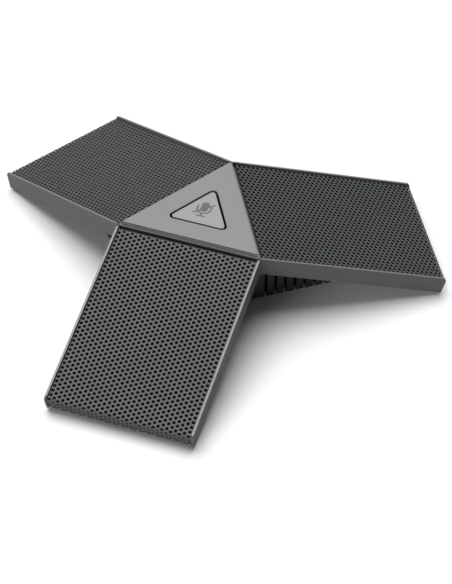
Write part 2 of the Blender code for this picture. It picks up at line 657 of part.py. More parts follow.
board_outline = cut_triangle(BOARD_INRADIUS, BOARD_CORNER_AT)
board = slab("main_board", board_outline, BOARD_UNDER_Z, BOARD_Z, CIRCUIT)
board_screw_top_z = DECK_UNDER_Z - 5 * GAP
board_head_z = BOARD_UNDER_Z - GAP
for arm, frame in arm_frames.items():
    cut(board, rod("board_hole", SMALL_SCREW_R + GAP, BOARD_UNDER_Z - FAR, BOARD_Z + FAR,
                   parent=frame, at=(BOARD_SCREW_AT, 0)))
    turned(f"board_screw_{arm}",
           [(0, board_screw_top_z), (SMALL_SCREW_R, board_screw_top_z), (SMALL_SCREW_R, board_head_z),
            (SMALL_HEAD_R, board_head_z), (SMALL_HEAD_R, board_head_z - SMALL_HEAD_HEIGHT),
            (0, board_head_z - SMALL_HEAD_HEIGHT)],
           BRIGHT, frame, (BOARD_SCREW_AT, 0, 0))

shield_z = BOARD_UNDER_Z - GAP - SHIELD_SIZE[2] / 2
shield = box("board_shield", SHIELD_SIZE, (0, 0, shield_z), BRIGHT)
shield_inside = [side - 2 * SHIELD_WALL for side in SHIELD_SIZE]
cut(shield, box("shield_inside", shield_inside, (0, 0, shield_z + 2 * SHIELD_WALL)))

jack_y = JACK_FACE_Y - JACK_SIZE[1] / 2
jack = box("network_jack", JACK_SIZE, (0, jack_y, JACK_Z + JACK_SIZE[2] / 2), BLACK)
mouth_z = JACK_Z + JACK_MOUTH_RISE + JACK_MOUTH[2] / 2
mouth_y = JACK_FACE_Y - JACK_MOUTH[1] / 2
mouth_size = (JACK_MOUTH[0], JACK_MOUTH[1] + FAR, JACK_MOUTH[2])
cut(jack, box("jack_mouth", mouth_size, (0, mouth_y + FAR / 2, mouth_z)))

# ---- Finned base with a keel under each arm ----

base = slab("finned_base", base_outline(), BASE_LIFT, BASE_TOP_Z, BLACK)
wall_inset = RIB_DEPTH + BASE_WALL
cut(base, slab("base_hollow", base_outline(wall_inset, KEEL_END_R / 3), BASE_LIFT + BASE_FLOOR, TOP_Z))
under = -ARM_THICK - GAP
for arm, frame in arm_frames.items():
    join(base, rod("screw_pillar", PILLAR_R, BASE_LIFT + BASE_FLOOR / 2, HUB_UNDER_Z, parent=frame,
                   at=(PILLAR_U, 0)))
for arm, frame in arm_frames.items():
    wedge = [
        upright_at(HUB_U, under), (HUB_U, TOP_Z + FAR), (KEEL_END_U + FAR, TOP_Z + FAR),
        upright_at(KEEL_END_U + FAR, under),
    ]
    cut(base, side_cut("keel_trim", wedge, HALF, parent=frame))
    rib_count = 1 + int((KEEL_END_U - KEEL_END_R - RIB_FIRST_U) / RIB_PITCH)
    for rib in range(rib_count):
        rib_u = RIB_FIRST_U + rib * RIB_PITCH
        for side in (-1, 1):
            centre = (rib_u, side * (keel_half(rib_u) - RIB_DEPTH / 2 + FAR / 2), TOP_Z / 2)
            cut(base, box("side_slot", (RIB_SLOT, RIB_DEPTH + FAR, TOP_Z), centre, parent=frame))
    end_slots = int((keel_half(KEEL_END_U) - KEEL_END_R) / RIB_PITCH)
    for slot_index in range(-end_slots, end_slots + 1):
        centre = (KEEL_END_U - RIB_DEPTH / 2 + FAR / 2, slot_index * RIB_PITCH, TOP_Z / 2)
        cut(base, box("end_slot", (RIB_DEPTH + FAR, RIB_SLOT, TOP_Z), centre, parent=frame))
    screw_seat_z = BASE_LIFT + BASE_FLOOR
    cut(base,
        rod("screw_way", SCREW_R + GAP, -FAR, TOP_Z, parent=frame, at=pillar_at),
        rod("screw_seat", SCREW_HEAD_R + GAP, -FAR, screw_seat_z + GAP, parent=frame, at=pillar_at),
        box("foot_seat", (KEEL_FOOT_SIZE[0] + 2 * GAP, KEEL_FOOT_SIZE[1] + 2 * GAP, 2 * FAR),
            (KEEL_FOOT_U, 0, BASE_LIFT + FOOT_SINK - FAR), parent=frame))
    box(f"keel_foot_{arm}", (*KEEL_FOOT_SIZE, FOOT_THICK), (KEEL_FOOT_U, 0, FOOT_THICK / 2), RUBBER, frame)
    screw_top_z = upright_at(PILLAR_U, screw_boss_top_w)[1] - 5 * GAP
    turned(f"base_screw_{arm}",
           [(0, screw_top_z), (SCREW_R, screw_top_z), (SCREW_R, screw_seat_z),
            (SCREW_HEAD_R, screw_seat_z), (SCREW_HEAD_R, screw_seat_z - SCREW_HEAD_HEIGHT),
            (0, screw_seat_z - SCREW_HEAD_HEIGHT)],
           BRIGHT, frame, (*pillar_at, 0))
mouth_cut = (JACK_MOUTH[0] + 4 * GAP, 2 * FAR, JACK_MOUTH[2] + 4 * GAP)
jack_seat = (JACK_SIZE[0] + 2 * GAP, JACK_SIZE[1] + 2 * GAP, JACK_SIZE[2] + 2 * GAP)
cut(base,
    box("jack_seat", jack_seat, (0, jack_y, JACK_Z + JACK_SIZE[2] / 2)),
    box("jack_window", mouth_cut, (0, JACK_FACE_Y + FAR / 2, mouth_z)),
    rod("centre_foot_seat", CENTRE_FOOT_R + GAP, -FAR, BASE_LIFT + FOOT_SINK))
rod("centre_foot", CENTRE_FOOT_R, 0, FOOT_THICK, RUBBER)
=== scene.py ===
"""Looks of the three-armed conference speakerphone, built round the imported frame.

The frame gives every place. In an arm, s runs down its sloping top from the hub, v runs
across it and w points out of it. Lengths are in metres.
"""

import json
import logging
import math
from collections.abc import Callable, Iterable
from dataclasses import dataclass, field
from enum import Enum

import bmesh
import bpy
from mathutils import Matrix, Vector

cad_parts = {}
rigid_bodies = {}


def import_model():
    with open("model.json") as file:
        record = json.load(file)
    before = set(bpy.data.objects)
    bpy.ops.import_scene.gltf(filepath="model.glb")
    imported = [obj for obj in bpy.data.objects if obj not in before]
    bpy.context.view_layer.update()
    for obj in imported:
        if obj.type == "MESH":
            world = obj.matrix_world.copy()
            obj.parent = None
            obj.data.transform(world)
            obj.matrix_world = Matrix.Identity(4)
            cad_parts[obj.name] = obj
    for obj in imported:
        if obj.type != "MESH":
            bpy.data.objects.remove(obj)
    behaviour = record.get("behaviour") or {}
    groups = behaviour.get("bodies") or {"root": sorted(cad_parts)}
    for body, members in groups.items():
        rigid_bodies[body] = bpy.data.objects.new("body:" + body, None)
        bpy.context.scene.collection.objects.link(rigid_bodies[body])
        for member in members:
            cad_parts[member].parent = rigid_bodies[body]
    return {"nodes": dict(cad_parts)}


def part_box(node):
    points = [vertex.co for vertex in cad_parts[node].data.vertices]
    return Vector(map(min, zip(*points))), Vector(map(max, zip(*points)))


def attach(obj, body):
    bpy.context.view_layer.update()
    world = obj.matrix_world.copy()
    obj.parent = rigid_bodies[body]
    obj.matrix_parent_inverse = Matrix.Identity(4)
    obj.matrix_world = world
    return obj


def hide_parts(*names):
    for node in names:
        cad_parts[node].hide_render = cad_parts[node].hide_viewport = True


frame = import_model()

LOG = logging.getLogger("speakerphone")
Test = Callable[[Vector], bool]
Colour = tuple[float, float, float]


class Arm(Enum):
    """The three arms, each with its direction in degrees from +X."""

    FRONT = -90.0
    RIGHT = 30.0
    LEFT = 150.0

    @property
    def label(self) -> str:
        """The arm's name in the frame's node names."""
        return self.name.lower()


class Pattern(Enum):
    """The surface pattern that a finish carries."""

    GRAIN = "grain"
    WEAVE = "weave"
    BRUSHED = "brushed"
    BOARD = "board"
    PAPER = "paper"


# ---- Pattern groups and finishes ----


class PatternGroup:
    """A shader node group with named sockets, built once and used by many finishes."""

    def __init__(self, name: str, numbers: dict[str, float], outputs: Iterable[str]) -> None:
        """Starts an empty group.

        Args:
            name: The group's name.
            numbers: Its input values, by name.
            outputs: The names of the values that it puts out.
        """
        self.tree = bpy.data.node_groups.new(name, "ShaderNodeTree")
        socket = self.tree.interface.new_socket
        socket("Place", in_out="INPUT", socket_type="NodeSocketVector")
        for label, value in numbers.items():
            made = socket(label, in_out="INPUT", socket_type="NodeSocketFloat")
            made.default_value = value
        for label in outputs:
            socket(label, in_out="OUTPUT", socket_type="NodeSocketFloat")
        self.given = self.tree.nodes.new("NodeGroupInput")
        self.result = self.tree.nodes.new("NodeGroupOutput")

    def node(self, kind: str, **settings: object) -> bpy.types.Node:
        """Adds a node and sets its properties."""
        made = self.tree.nodes.new(kind)
        for key, value in settings.items():
            setattr(made, key, value)
        return made

    def link(self, source: bpy.types.NodeSocket, target: bpy.types.NodeSocket) -> None:
        """Links two sockets."""
        self.tree.links.new(source, target)

    def math(self, operation: str, a: object, b: object = 0.0) -> bpy.types.NodeSocket:
        """Adds a Math node.

        Args:
            operation: Blender's name for the operation.
            a: The first value, a number or a socket.
            b: The second value, a number or a socket.

        Returns:
            The node's output socket.
        """
        node = self.node("ShaderNodeMath", operation=operation)
        for slot, value in zip(node.inputs, (a, b)):
            if isinstance(value, bpy.types.NodeSocket):
                self.link(value, slot)
            else:
                slot.default_value = value
        return node.outputs[0]

    def noise(self, scale: object, detail: float, roughness: float = 0.5) -> bpy.types.Node:
        """Adds a Noise Texture on the group's place, with its scale linked or set."""
        node = self.node("ShaderNodeTexNoise")
        node.inputs["Detail"].default_value = detail
        node.inputs["Roughness"].default_value = roughness
        self.link(self.given.outputs["Place"], node.inputs["Vector"])
        if isinstance(scale, bpy.types.NodeSocket):
            self.link(scale, node.inputs["Scale"])
        else:
            node.inputs["Scale"].default_value = scale
        return node


def grain_group() -> bpy.types.NodeTree:
    """Fine spark-eroded grain of a moulded or painted face."""
    group = PatternGroup("fine_grain", {"Grain Size": 0.0004}, ("Height", "Mask"))
    scale = group.math("DIVIDE", 1.0, group.given.outputs["Grain Size"])
    fine = group.noise(scale, 2.0, 0.6)
    group.link(fine.outputs["Fac"], group.result.inputs["Height"])
    group.link(fine.outputs["Fac"], group.result.inputs["Mask"])
    return group.tree


def haze_group() -> bpy.types.NodeTree:
    """Slow handling haze and sparse dust, the same on every finish."""
    group = PatternGroup("handling_haze", {"Patch Size": 0.03, "Dust": 0.3}, ("Haze", "Dust"))
    scale = group.math("DIVIDE", 1.0, group.given.outputs["Patch Size"])
    slow = group.noise(scale, 3.0, 0.55)
    dust = group.noise(group.math("MULTIPLY", scale, 55.0), 1.0)
    speck = group.math("GREATER_THAN", dust.outputs["Fac"], 0.73)
    group.link(slow.outputs["Fac"], group.result.inputs["Haze"])
    group.link(group.math("MULTIPLY", speck, group.given.outputs["Dust"]), group.result.inputs["Dust"])
    return group.tree


def weave_group() -> bpy.types.NodeTree:
    """Over-and-under threads of a plain open weave."""
    group = PatternGroup("plain_weave", {"Grain Size": 0.0004}, ("Height", "Mask"))
    parts = group.node("ShaderNodeSeparateXYZ")
    group.link(group.given.outputs["Place"], parts.inputs[0])
    rate = group.math("DIVIDE", math.tau, group.given.outputs["Grain Size"])
    waves = [group.math("SINE", group.math("MULTIPLY", parts.outputs[axis], rate)) for axis in (0, 1)]
    thread = group.math("MULTIPLY", *waves)
    height = group.math("MULTIPLY_ADD", thread, 0.5)
    height.node.inputs[2].default_value = 0.5
    group.link(height, group.result.inputs["Height"])
    group.link(height, group.result.inputs["Mask"])
    return group.tree


def brushed_group() -> bpy.types.NodeTree:
    """Long fine lines of rolled or brushed metal."""
    group = PatternGroup("brushed_lines", {"Grain Size": 0.0002}, ("Height", "Mask"))
    stretch = group.node("ShaderNodeVectorMath", operation="MULTIPLY")
    stretch.inputs[1].default_value = (0.04, 1.0, 1.0)
    group.link(group.given.outputs["Place"], stretch.inputs[0])
    lines = group.noise(group.math("DIVIDE", 1.0, group.given.outputs["Grain Size"]), 3.0)
    group.link(stretch.outputs[0], lines.inputs["Vector"])
    group.link(lines.outputs["Fac"], group.result.inputs["Height"])
    group.link(lines.outputs["Fac"], group.result.inputs["Mask"])
    return group.tree


def board_group() -> bpy.types.NodeTree:
    """Copper tracks under solder mask, as bands of a cell pattern."""
    group = PatternGroup("board_tracks", {"Grain Size": 0.0016}, ("Height", "Mask"))
    cells = group.node("ShaderNodeTexVoronoi", feature="DISTANCE_TO_EDGE", distance="MANHATTAN")
    group.link(group.given.outputs["Place"], cells.inputs["Vector"])
    group.link(group.math("DIVIDE", 1.0, group.given.outputs["Grain Size"]), cells.inputs["Scale"])
    track = group.math("LESS_THAN", cells.outputs["Distance"], 0.09)
    group.link(track, group.result.inputs["Height"])
    group.link(track, group.result.inputs["Mask"])
    return group.tree


def paper_group() -> bpy.types.NodeTree:
    """Matted fibres of pressed paper."""
    group = PatternGroup("paper_fibre", {"Grain Size": 0.0008}, ("Height", "Mask"))
    fibres = group.noise(group.math("DIVIDE", 1.0, group.given.outputs["Grain Size"]), 6.0, 0.7)
    fibres.inputs["Distortion"].default_value = 2.5
    group.link(fibres.outputs["Fac"], group.result.inputs["Height"])
    group.link(fibres.outputs["Fac"], group.result.inputs["Mask"])
    return group.tree


PATTERN_MAKERS: dict[Pattern, Callable[[], bpy.types.NodeTree]] = {
    Pattern.GRAIN: grain_group,
    Pattern.WEAVE: weave_group,
    Pattern.BRUSHED: brushed_group,
    Pattern.BOARD: board_group,
    Pattern.PAPER: paper_group,
}


@dataclass(frozen=True)
class Finish:
    """One finish: a Principled shader varied by a pattern group and the haze group.

    Attributes:
        name: The material's name.
        slot: The record's material slot.
        low: Colour where the pattern is low.
        high: Colour where the pattern is high.
        roughness: Middle of its roughness.
        spread: How far haze moves the roughness.
        metallic: Metal share.
        pattern: The surface pattern.
        size: The pattern's size in metres.
        relief: Height of the pattern's bump in metres.
        dust: How strong the dust specks are.
        coat: Clear coat weight.
        specular: Specular level.
    """

    name: str
    slot: str
    low: Colour
    high: Colour
    roughness: float
    spread: float = 0.08
    metallic: float = 0.0
    pattern: Pattern = Pattern.GRAIN
    size: float = 0.0004
    relief: float = 0.00001
    dust: float = 0.10
    coat: float = 0.0
    specular: float = 0.5

    def material(self, groups: dict[str, bpy.types.NodeTree]) -> bpy.types.Material:
        """Builds the material.

        Args:
            groups: The pattern groups by name, and the haze group.

        Returns:
            The new material.
        """
        made = bpy.data.materials.new(self.name)
        made.use_nodes = True
        made.diffuse_color = (*self.high, 1.0)
        nodes, links = made.node_tree.nodes, made.node_tree.links
        shader = nodes["Principled BSDF"]
        shader.inputs["Metallic"].default_value = self.metallic
        shader.inputs["Coat Weight"].default_value = self.coat
        shader.inputs["Specular IOR Level"].default_value = self.specular
        place = nodes.new("ShaderNodeTexCoord").outputs["Object"]
        pattern, haze = nodes.new("ShaderNodeGroup"), nodes.new("ShaderNodeGroup")
        pattern.node_tree, haze.node_tree = groups[self.pattern.value], groups["haze"]
        pattern.inputs["Grain Size"].default_value = self.size
        haze.inputs["Dust"].default_value = self.dust
        links.new(place, pattern.inputs["Place"])
        links.new(place, haze.inputs["Place"])
        base = self._mix(made, pattern.outputs["Mask"], self.low, self.high)
        dusty = self._mix(made, haze.outputs["Dust"], base, (0.35, 0.34, 0.32))
        links.new(dusty, shader.inputs["Base Color"])
        rough = nodes.new("ShaderNodeMapRange")
        rough.inputs["To Min"].default_value = max(self.roughness - self.spread, 0.02)
        rough.inputs["To Max"].default_value = min(self.roughness + self.spread, 1.0)
        links.new(haze.outputs["Haze"], rough.inputs["Value"])
        links.new(rough.outputs["Result"], shader.inputs["Roughness"])
        bump = nodes.new("ShaderNodeBump")
        bump.inputs["Distance"].default_value = self.relief
        links.new(pattern.outputs["Height"], bump.inputs["Height"])
        links.new(bump.outputs["Normal"], shader.inputs["Normal"])
        return made

    @staticmethod
    def _mix(
        made: bpy.types.Material, share: bpy.types.NodeSocket, low: object, high: Colour
    ) -> bpy.types.NodeSocket:
        """Mixes two colours by a share.

        Args:
            made: The material to add the node to.
            share: The socket that gives the share of the second colour.
            low: The first colour, or a socket that gives it.
            high: The second colour.

        Returns:
            The mixed colour's socket.
        """
        mix = made.node_tree.nodes.new("ShaderNodeMix")
        mix.data_type = "RGBA"
        made.node_tree.links.new(share, mix.inputs["Factor"])
        if isinstance(low, bpy.types.NodeSocket):
            made.node_tree.links.new(low, mix.inputs["A"])
        else:
            mix.inputs["A"].default_value = (*low, 1.0)
        mix.inputs["B"].default_value = (*high, 1.0)
        return mix.outputs["Result"]


def grey(level: float) -> Colour:
    """A neutral grey."""
    return (level, level, level)


FINISHES: tuple[Finish, ...] = (
    Finish("housing_satin_grey", "housing", (0.074, 0.075, 0.075), (0.086, 0.087, 0.087), 0.42,
           relief=0.000006, dust=0.03, specular=0.06),
    # Lighter copy of the housing grey for the rails' tops: a painted highlight where the rails catch the
    # light.
    Finish("rail_top_painted_highlight", "housing", (0.135, 0.137, 0.137), (0.155, 0.157, 0.157), 0.36,
           relief=0.000004, dust=0.03),
    Finish("plate_satin_grey", "hub_plate", (0.140, 0.143, 0.143), (0.158, 0.161, 0.161), 0.44,
           relief=0.000006, dust=0.05),
    # Black for the hub plate's lower side walls: painted shade in the channel round the plate.
    Finish("skirt_painted_shade_black", "hub_plate", grey(0.010), grey(0.016), 0.6, dust=0.0,
           specular=0.3),
    Finish("button_satin_grey", "button", (0.200, 0.203, 0.203), (0.222, 0.225, 0.225), 0.46,
           relief=0.000006),
    Finish("icon_ink", "button", grey(0.065), grey(0.08), 0.6),
    Finish("smoked_light_guide", "light_guide", grey(0.012), grey(0.018), 0.2,
           dust=0.0),
    Finish("grille_painted_steel", "grille", (0.044, 0.048, 0.048), (0.060, 0.065, 0.065), 0.44,
           dust=0.04, specular=0.30, relief=0.000004, size=0.0003),
    Finish("acoustic_cloth_black", "acoustic_cloth", grey(0.003), grey(0.012), 0.95,
           pattern=Pattern.WEAVE, size=0.0003, relief=0.00008, dust=0.0, specular=0.1),
    Finish("base_black", "base", grey(0.012), grey(0.020), 0.50, relief=0.00002),
    Finish("arm_cover_black", "arm_cover", grey(0.016), grey(0.026), 0.55,
           relief=0.00003, size=0.0006),
    Finish("foot_rubber_black", "foot_rubber", grey(0.014), grey(0.024), 0.88,
           relief=0.00003, size=0.0005, specular=0.3),
    Finish("plunger_plastic", "plunger", grey(0.22), grey(0.26), 0.5),
    Finish("switch_plastic", "switch", grey(0.02), grey(0.03), 0.45),
    Finish("board_green", "circuit_board", (0.012, 0.075, 0.035), (0.03, 0.14, 0.06), 0.32,
           pattern=Pattern.BOARD, size=0.0022, relief=0.00003),
    Finish("shield_tin", "shield_can", (0.50, 0.50, 0.49), (0.62, 0.62, 0.61), 0.30, metallic=1.0,
           pattern=Pattern.BRUSHED, relief=0.000004),
    Finish("socket_black", "socket", grey(0.012), grey(0.018), 0.30),
    Finish("contact_gold", "socket", (0.75, 0.52, 0.18), (0.85, 0.60, 0.24), 0.22, metallic=1.0, dust=0.0),
    Finish("basket_steel", "speaker_basket", grey(0.40), (0.52, 0.52, 0.51), 0.36, metallic=1.0,
           pattern=Pattern.BRUSHED, relief=0.000005),
    Finish("magnet_ferrite", "speaker_magnet", (0.05, 0.05, 0.052), (0.09, 0.09, 0.092), 0.75,
           size=0.0009, relief=0.00004),
    Finish("surround_rubber", "speaker_surround", grey(0.012), grey(0.02), 0.7),
    Finish("cone_paper", "speaker_cone", grey(0.018), (0.040, 0.038, 0.036), 0.85,
           pattern=Pattern.PAPER, relief=0.00006),
    Finish("capsule_aluminium", "mic_capsule", grey(0.62), (0.74, 0.74, 0.73), 0.28, metallic=1.0,
           pattern=Pattern.BRUSHED, relief=0.000004),
    Finish("gasket_rubber", "mic_gasket", grey(0.016), grey(0.026), 0.85),
    Finish("ribbon_film", "ribbon_cable", (0.26, 0.115, 0.018), (0.42, 0.20, 0.035), 0.28,
           pattern=Pattern.BRUSHED, size=0.0005, relief=0.00001),
    Finish("screw_steel", "screw", grey(0.33), (0.46, 0.46, 0.45), 0.34, metallic=1.0,
           pattern=Pattern.BRUSHED, relief=0.000004),
)


@dataclass
class Paintbox:
    """Builds every finish once and dresses pieces with them.

    Attributes:
        materials: The materials, by finish name.
        slots: The record's material slots, by finish name.
    """

    materials: dict[str, bpy.types.Material] = field(default_factory=dict)
    slots: dict[str, str] = field(default_factory=dict)

    def mix(self) -> None:
        """Builds the groups and then the finishes."""
        groups = {pattern.value: maker() for pattern, maker in PATTERN_MAKERS.items()}
        groups["haze"] = haze_group()
        for finish in FINISHES:
            self.materials[finish.name] = finish.material(groups)
            self.slots[finish.name] = finish.slot

    def dress(self, piece: bpy.types.Object, finish: str) -> None:
        """Gives a new piece its finish.

        Args:
            piece: The piece.
            finish: The finish's name.
        """
        piece.data.materials.clear()
        piece.data.materials.append(self.materials[finish])

    def dress_node(self, node: str, finish: str) -> None:
        """Gives a frame node a finish, in the material slots that it has."""
        for holder in frame["nodes"][node].material_slots:
            holder.material = self.materials[finish]


# ---- Bench: modelling operators on one object at a time ----


class Bench:
    """Adds primitives and shapes them in edit mode, one object at a time."""

    @staticmethod
    def clear() -> None:
        """Deselects everything, so that an operator acts only on what is picked next."""
        for item in bpy.context.view_layer.objects:
            item.select_set(False)

    @staticmethod
    def only(piece: bpy.types.Object) -> None:
        """Selects one object and makes it active."""
        Bench.clear()
        piece.select_set(True)
        bpy.context.view_layer.objects.active = piece

    @staticmethod
    def added(name: str) -> bpy.types.Object:
        """Names the primitive that was just added, applies its place and starts its edit."""
        piece = bpy.context.object
        piece.name = piece.data.name = name
        bpy.ops.object.transform_apply(location=True, rotation=True, scale=True)
        bpy.ops.object.mode_set(mode="EDIT")
        return piece

    @staticmethod
    def block(name: str, size: tuple[float, float, float], centre: tuple[float, float, float]
              ) -> bpy.types.Object:
        """Adds a block and opens it for editing.

        Args:
            name: The piece's name.
            size: Its three sides.
            centre: Its middle.

        Returns:
            The new object, in edit mode.
        """
        Bench.clear()
        bpy.ops.mesh.primitive_cube_add(size=1, location=centre, scale=size)
        return Bench.added(name)

    @staticmethod
    def drum(name: str, radius: float, low: float, high: float, at: tuple[float, float] = (0, 0),
             sides: int = 48) -> bpy.types.Object:
        """Adds an upright cylinder and opens it for editing.

        Args:
            name: The piece's name.
            radius: Its radius.
            low: Height of its lower face.
            high: Height of its upper face.
            at: Its axis in plan.
            sides: How many sides it has.

        Returns:
            The new object, in edit mode.
        """
        Bench.clear()
        bpy.ops.mesh.primitive_cylinder_add(
            vertices=sides, radius=radius, depth=high - low, location=(*at, (low + high) / 2))
        return Bench.added(name)

    @staticmethod
    def wedge(name: str, inradius: float, corner_r: float, low: float, high: float,
              steps: int = 8) -> bpy.types.Object:
        """Adds a three-cornered drum, with rounded corners and one of them towards +Y.

        Args:
            name: The piece's name.
            inradius: Distance of its sides from its axis.
            corner_r: Radius of its corners.
            low: Height of its lower face.
            high: Height of its upper face.
            steps: How many strips each corner has.

        Returns:
            The new object, out of edit mode.
        """
        Bench.clear()
        bpy.ops.mesh.primitive_circle_add(
            vertices=3, radius=2 * inradius, fill_type="NGON", location=(0, 0, low))
        piece = Bench.added(name)
        bpy.ops.mesh.select_all(action="SELECT")
        bpy.ops.mesh.bevel(offset=corner_r * math.sqrt(3), segments=steps, affect="VERTICES")
        bpy.ops.mesh.select_all(action="SELECT")
        Bench.push((0, 0, high - low))
        bpy.ops.mesh.select_all(action="SELECT")
        bpy.ops.mesh.normals_make_consistent(inside=False)
        Bench.close()
        return piece

    @staticmethod
    def pick(piece: bpy.types.Object, test: Test, kind: str = "VERT") -> None:
        """Selects the vertices that pass a test, or the edges with both ends passing it.

        Args:
            piece: The object in edit mode.
            test: Says yes for each point wanted.
            kind: VERT or EDGE.
        """
        bpy.ops.mesh.select_mode(type=kind)
        bpy.ops.mesh.select_all(action="DESELECT")
        work = bmesh.from_edit_mesh(piece.data)
        if kind == "VERT":
            for vert in work.verts:
                if test(vert.co):
                    vert.select_set(True)
        else:
            for edge in work.edges:
                if all(test(vert.co) for vert in edge.verts):
                    edge.select_set(True)
        work.select_flush_mode()
        bmesh.update_edit_mesh(piece.data)

    @staticmethod
    def facing(piece: bpy.types.Object, direction: Vector, test: Test | None = None) -> None:
        """Selects faces whose normal points a given way.

        Args:
            piece: The object in edit mode.
            direction: The way that the faces point.
            test: Says yes for each face middle wanted, or None for all.
        """
        bpy.ops.mesh.select_mode(type="FACE")
        bpy.ops.mesh.select_all(action="DESELECT")
        work = bmesh.from_edit_mesh(piece.data)
        for face in work.faces:
            if face.normal.dot(direction) > 0.99 and (test is None or test(face.calc_center_median())):
                face.select_set(True)
        work.select_flush_mode()
        bmesh.update_edit_mesh(piece.data)

    @staticmethod
    def push(shift: tuple[float, float, float], spread: float | None = None) -> None:
        """Extrudes what is picked by a shift, and then widens it in plan by a factor."""
        bpy.ops.mesh.extrude_region_move(TRANSFORM_OT_translate={"value": shift})
        if spread is not None:
            bpy.ops.transform.resize(value=(spread, spread, 1.0))

    @staticmethod
    def slice(piece: bpy.types.Object, at: Vector, normal: Vector, trim: bool) -> None:
        """Cuts the whole mesh along a plane.

        Args:
            piece: The object in edit mode.
            at: A point on the plane.
            normal: The way that the plane faces.
            trim: True to drop what lies in front of it and close the cut.
        """
        bpy.ops.mesh.select_mode(type="VERT")
        bpy.ops.mesh.select_all(action="SELECT")
        bpy.ops.mesh.bisect(plane_co=at, plane_no=normal, use_fill=trim, clear_outer=trim,
                            threshold=1e-7)

    @staticmethod
    def close() -> None:
        """Leaves edit mode."""
        bpy.ops.object.mode_set(mode="OBJECT")

    @staticmethod
    def modify(piece: bpy.types.Object, kind: str, **settings: object) -> None:
        """Adds a modifier and applies it.

        Args:
            piece: The object.
            kind: The modifier's type.
            settings: Its properties.
        """
        Bench.only(piece)
        modifier = piece.modifiers.new(kind.lower(), kind)
        for key, value in settings.items():
            setattr(modifier, key, value)
        bpy.ops.object.modifier_apply(modifier=modifier.name)

    @staticmethod
    def soften(piece: bpy.types.Object, width: float, segments: int = 2, degrees: float = 30.0) -> None:
        """Rounds every edge sharper than an angle by a small radius."""
        Bench.modify(piece, "BEVEL", width=width, segments=segments, limit_method="ANGLE",
                     angle_limit=math.radians(degrees), use_clamp_overlap=True, harden_normals=False)

    @staticmethod
    def carve(piece: bpy.types.Object, tool: bpy.types.Object, operation: str = "DIFFERENCE") -> None:
        """Cuts a tool out of a piece, or joins it on, and drops the tool."""
        Bench.modify(piece, "BOOLEAN", operation=operation, object=tool, solver="EXACT")
        bpy.data.objects.remove(tool)

    @staticmethod
    def shade(piece: bpy.types.Object, degrees: float = 30.0) -> None:
        """Smooths the shading up to an angle and keeps large flat faces flat."""
        Bench.only(piece)
        bpy.ops.object.shade_smooth_by_angle(angle=math.radians(degrees))
        Bench.modify(piece, "WEIGHTED_NORMAL", mode="FACE_AREA", weight=100, keep_sharp=True)

    @staticmethod
    def placed(piece: bpy.types.Object, matrix: Matrix) -> None:
        """Moves the mesh, and not its object, to its place."""
        piece.data.transform(matrix)
        piece.data.update()

    @staticmethod
    def copy(piece: bpy.types.Object, name: str) -> bpy.types.Object:
        """A second piece with its own mesh."""
        twin = bpy.data.objects.new(name, piece.data.copy())
        twin.data.name = name
        bpy.context.scene.collection.objects.link(twin)
        return twin

    @staticmethod
    def from_node(node: str, name: str) -> bpy.types.Object:
        """A merged copy of a frame node with its flat faces joined up, ready to be shaped.

        Args:
            node: The frame node.
            name: The new piece's name.

        Returns:
            The new object.
        """
        piece = Bench.copy(frame["nodes"][node], name)
        Bench.only(piece)
        bpy.ops.object.mode_set(mode="EDIT")
        bpy.ops.mesh.select_mode(type="VERT")
        bpy.ops.mesh.select_all(action="SELECT")
        bpy.ops.mesh.remove_doubles(threshold=2e-6)
        bpy.ops.mesh.dissolve_limited(angle_limit=math.radians(0.5))
        bpy.ops.mesh.dissolve_degenerate(threshold=2e-6)
        Bench.close()
        return piece


# ---- Where the arms lie ----


@dataclass(frozen=True)
class ArmFrame:
    """Where an arm's sloping top lies, from the frame's boxes.

    Attributes:
        arm: Which arm.
        hub_u: Distance of its inner edge from the hub's axis.
        top_z: Height of that edge.
        slope: How far the arm dips, in radians.
    """

    arm: Arm
    hub_u: float
    top_z: float
    slope: float

    @property
    def matrix(self) -> Matrix:
        """Takes s, v and w to their place in the frame."""
        return (
            Matrix.Rotation(math.radians(self.arm.value), 4, "Z")
            @ Matrix.Translation((self.hub_u, 0.0, self.top_z))
            @ Matrix.Rotation(self.slope, 4, "Y")
        )


@dataclass(frozen=True)
class Layout:
    """Sizes that several pieces share.

    Attributes:
        slope: How far each arm dips, in radians.
        arm_length: Length of an arm down its sloping top.
        grille_gap: Clearance round a grille.
    """

    slope: float = math.radians(16.9)
    arm_length: float = 0.11831
    grille_gap: float = 0.0003

    @property
    def top_z(self) -> float:
        """Height of the arms' inner edges."""
        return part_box("top_housing")[1].z

    @property
    def hub_u(self) -> float:
        """Distance of the arms' inner edges from the hub's axis."""
        return -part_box("grille_front")[1].y - self.grille_gap

    @property
    def half_grille(self) -> float:
        """Half the grille's width."""
        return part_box("grille_front")[1].x

    def arms(self) -> list[ArmFrame]:
        """One frame for each arm."""
        return [ArmFrame(arm, self.hub_u, self.top_z, self.slope) for arm in Arm]


def finish_piece(piece: bpy.types.Object, body: str, *nodes: str) -> None:
    """Rides a piece on its body, hides the frame nodes that it stands for and reports it.

    Args:
        piece: The piece, in its place.
        body: The body that it moves with.
        nodes: The frame nodes that it stands for.
    """
    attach(piece, body)
    if nodes:
        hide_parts(*nodes)
    LOG.info("%s: %d faces on %s", piece.name, len(piece.data.polygons), body)


# ---- Grilles ----


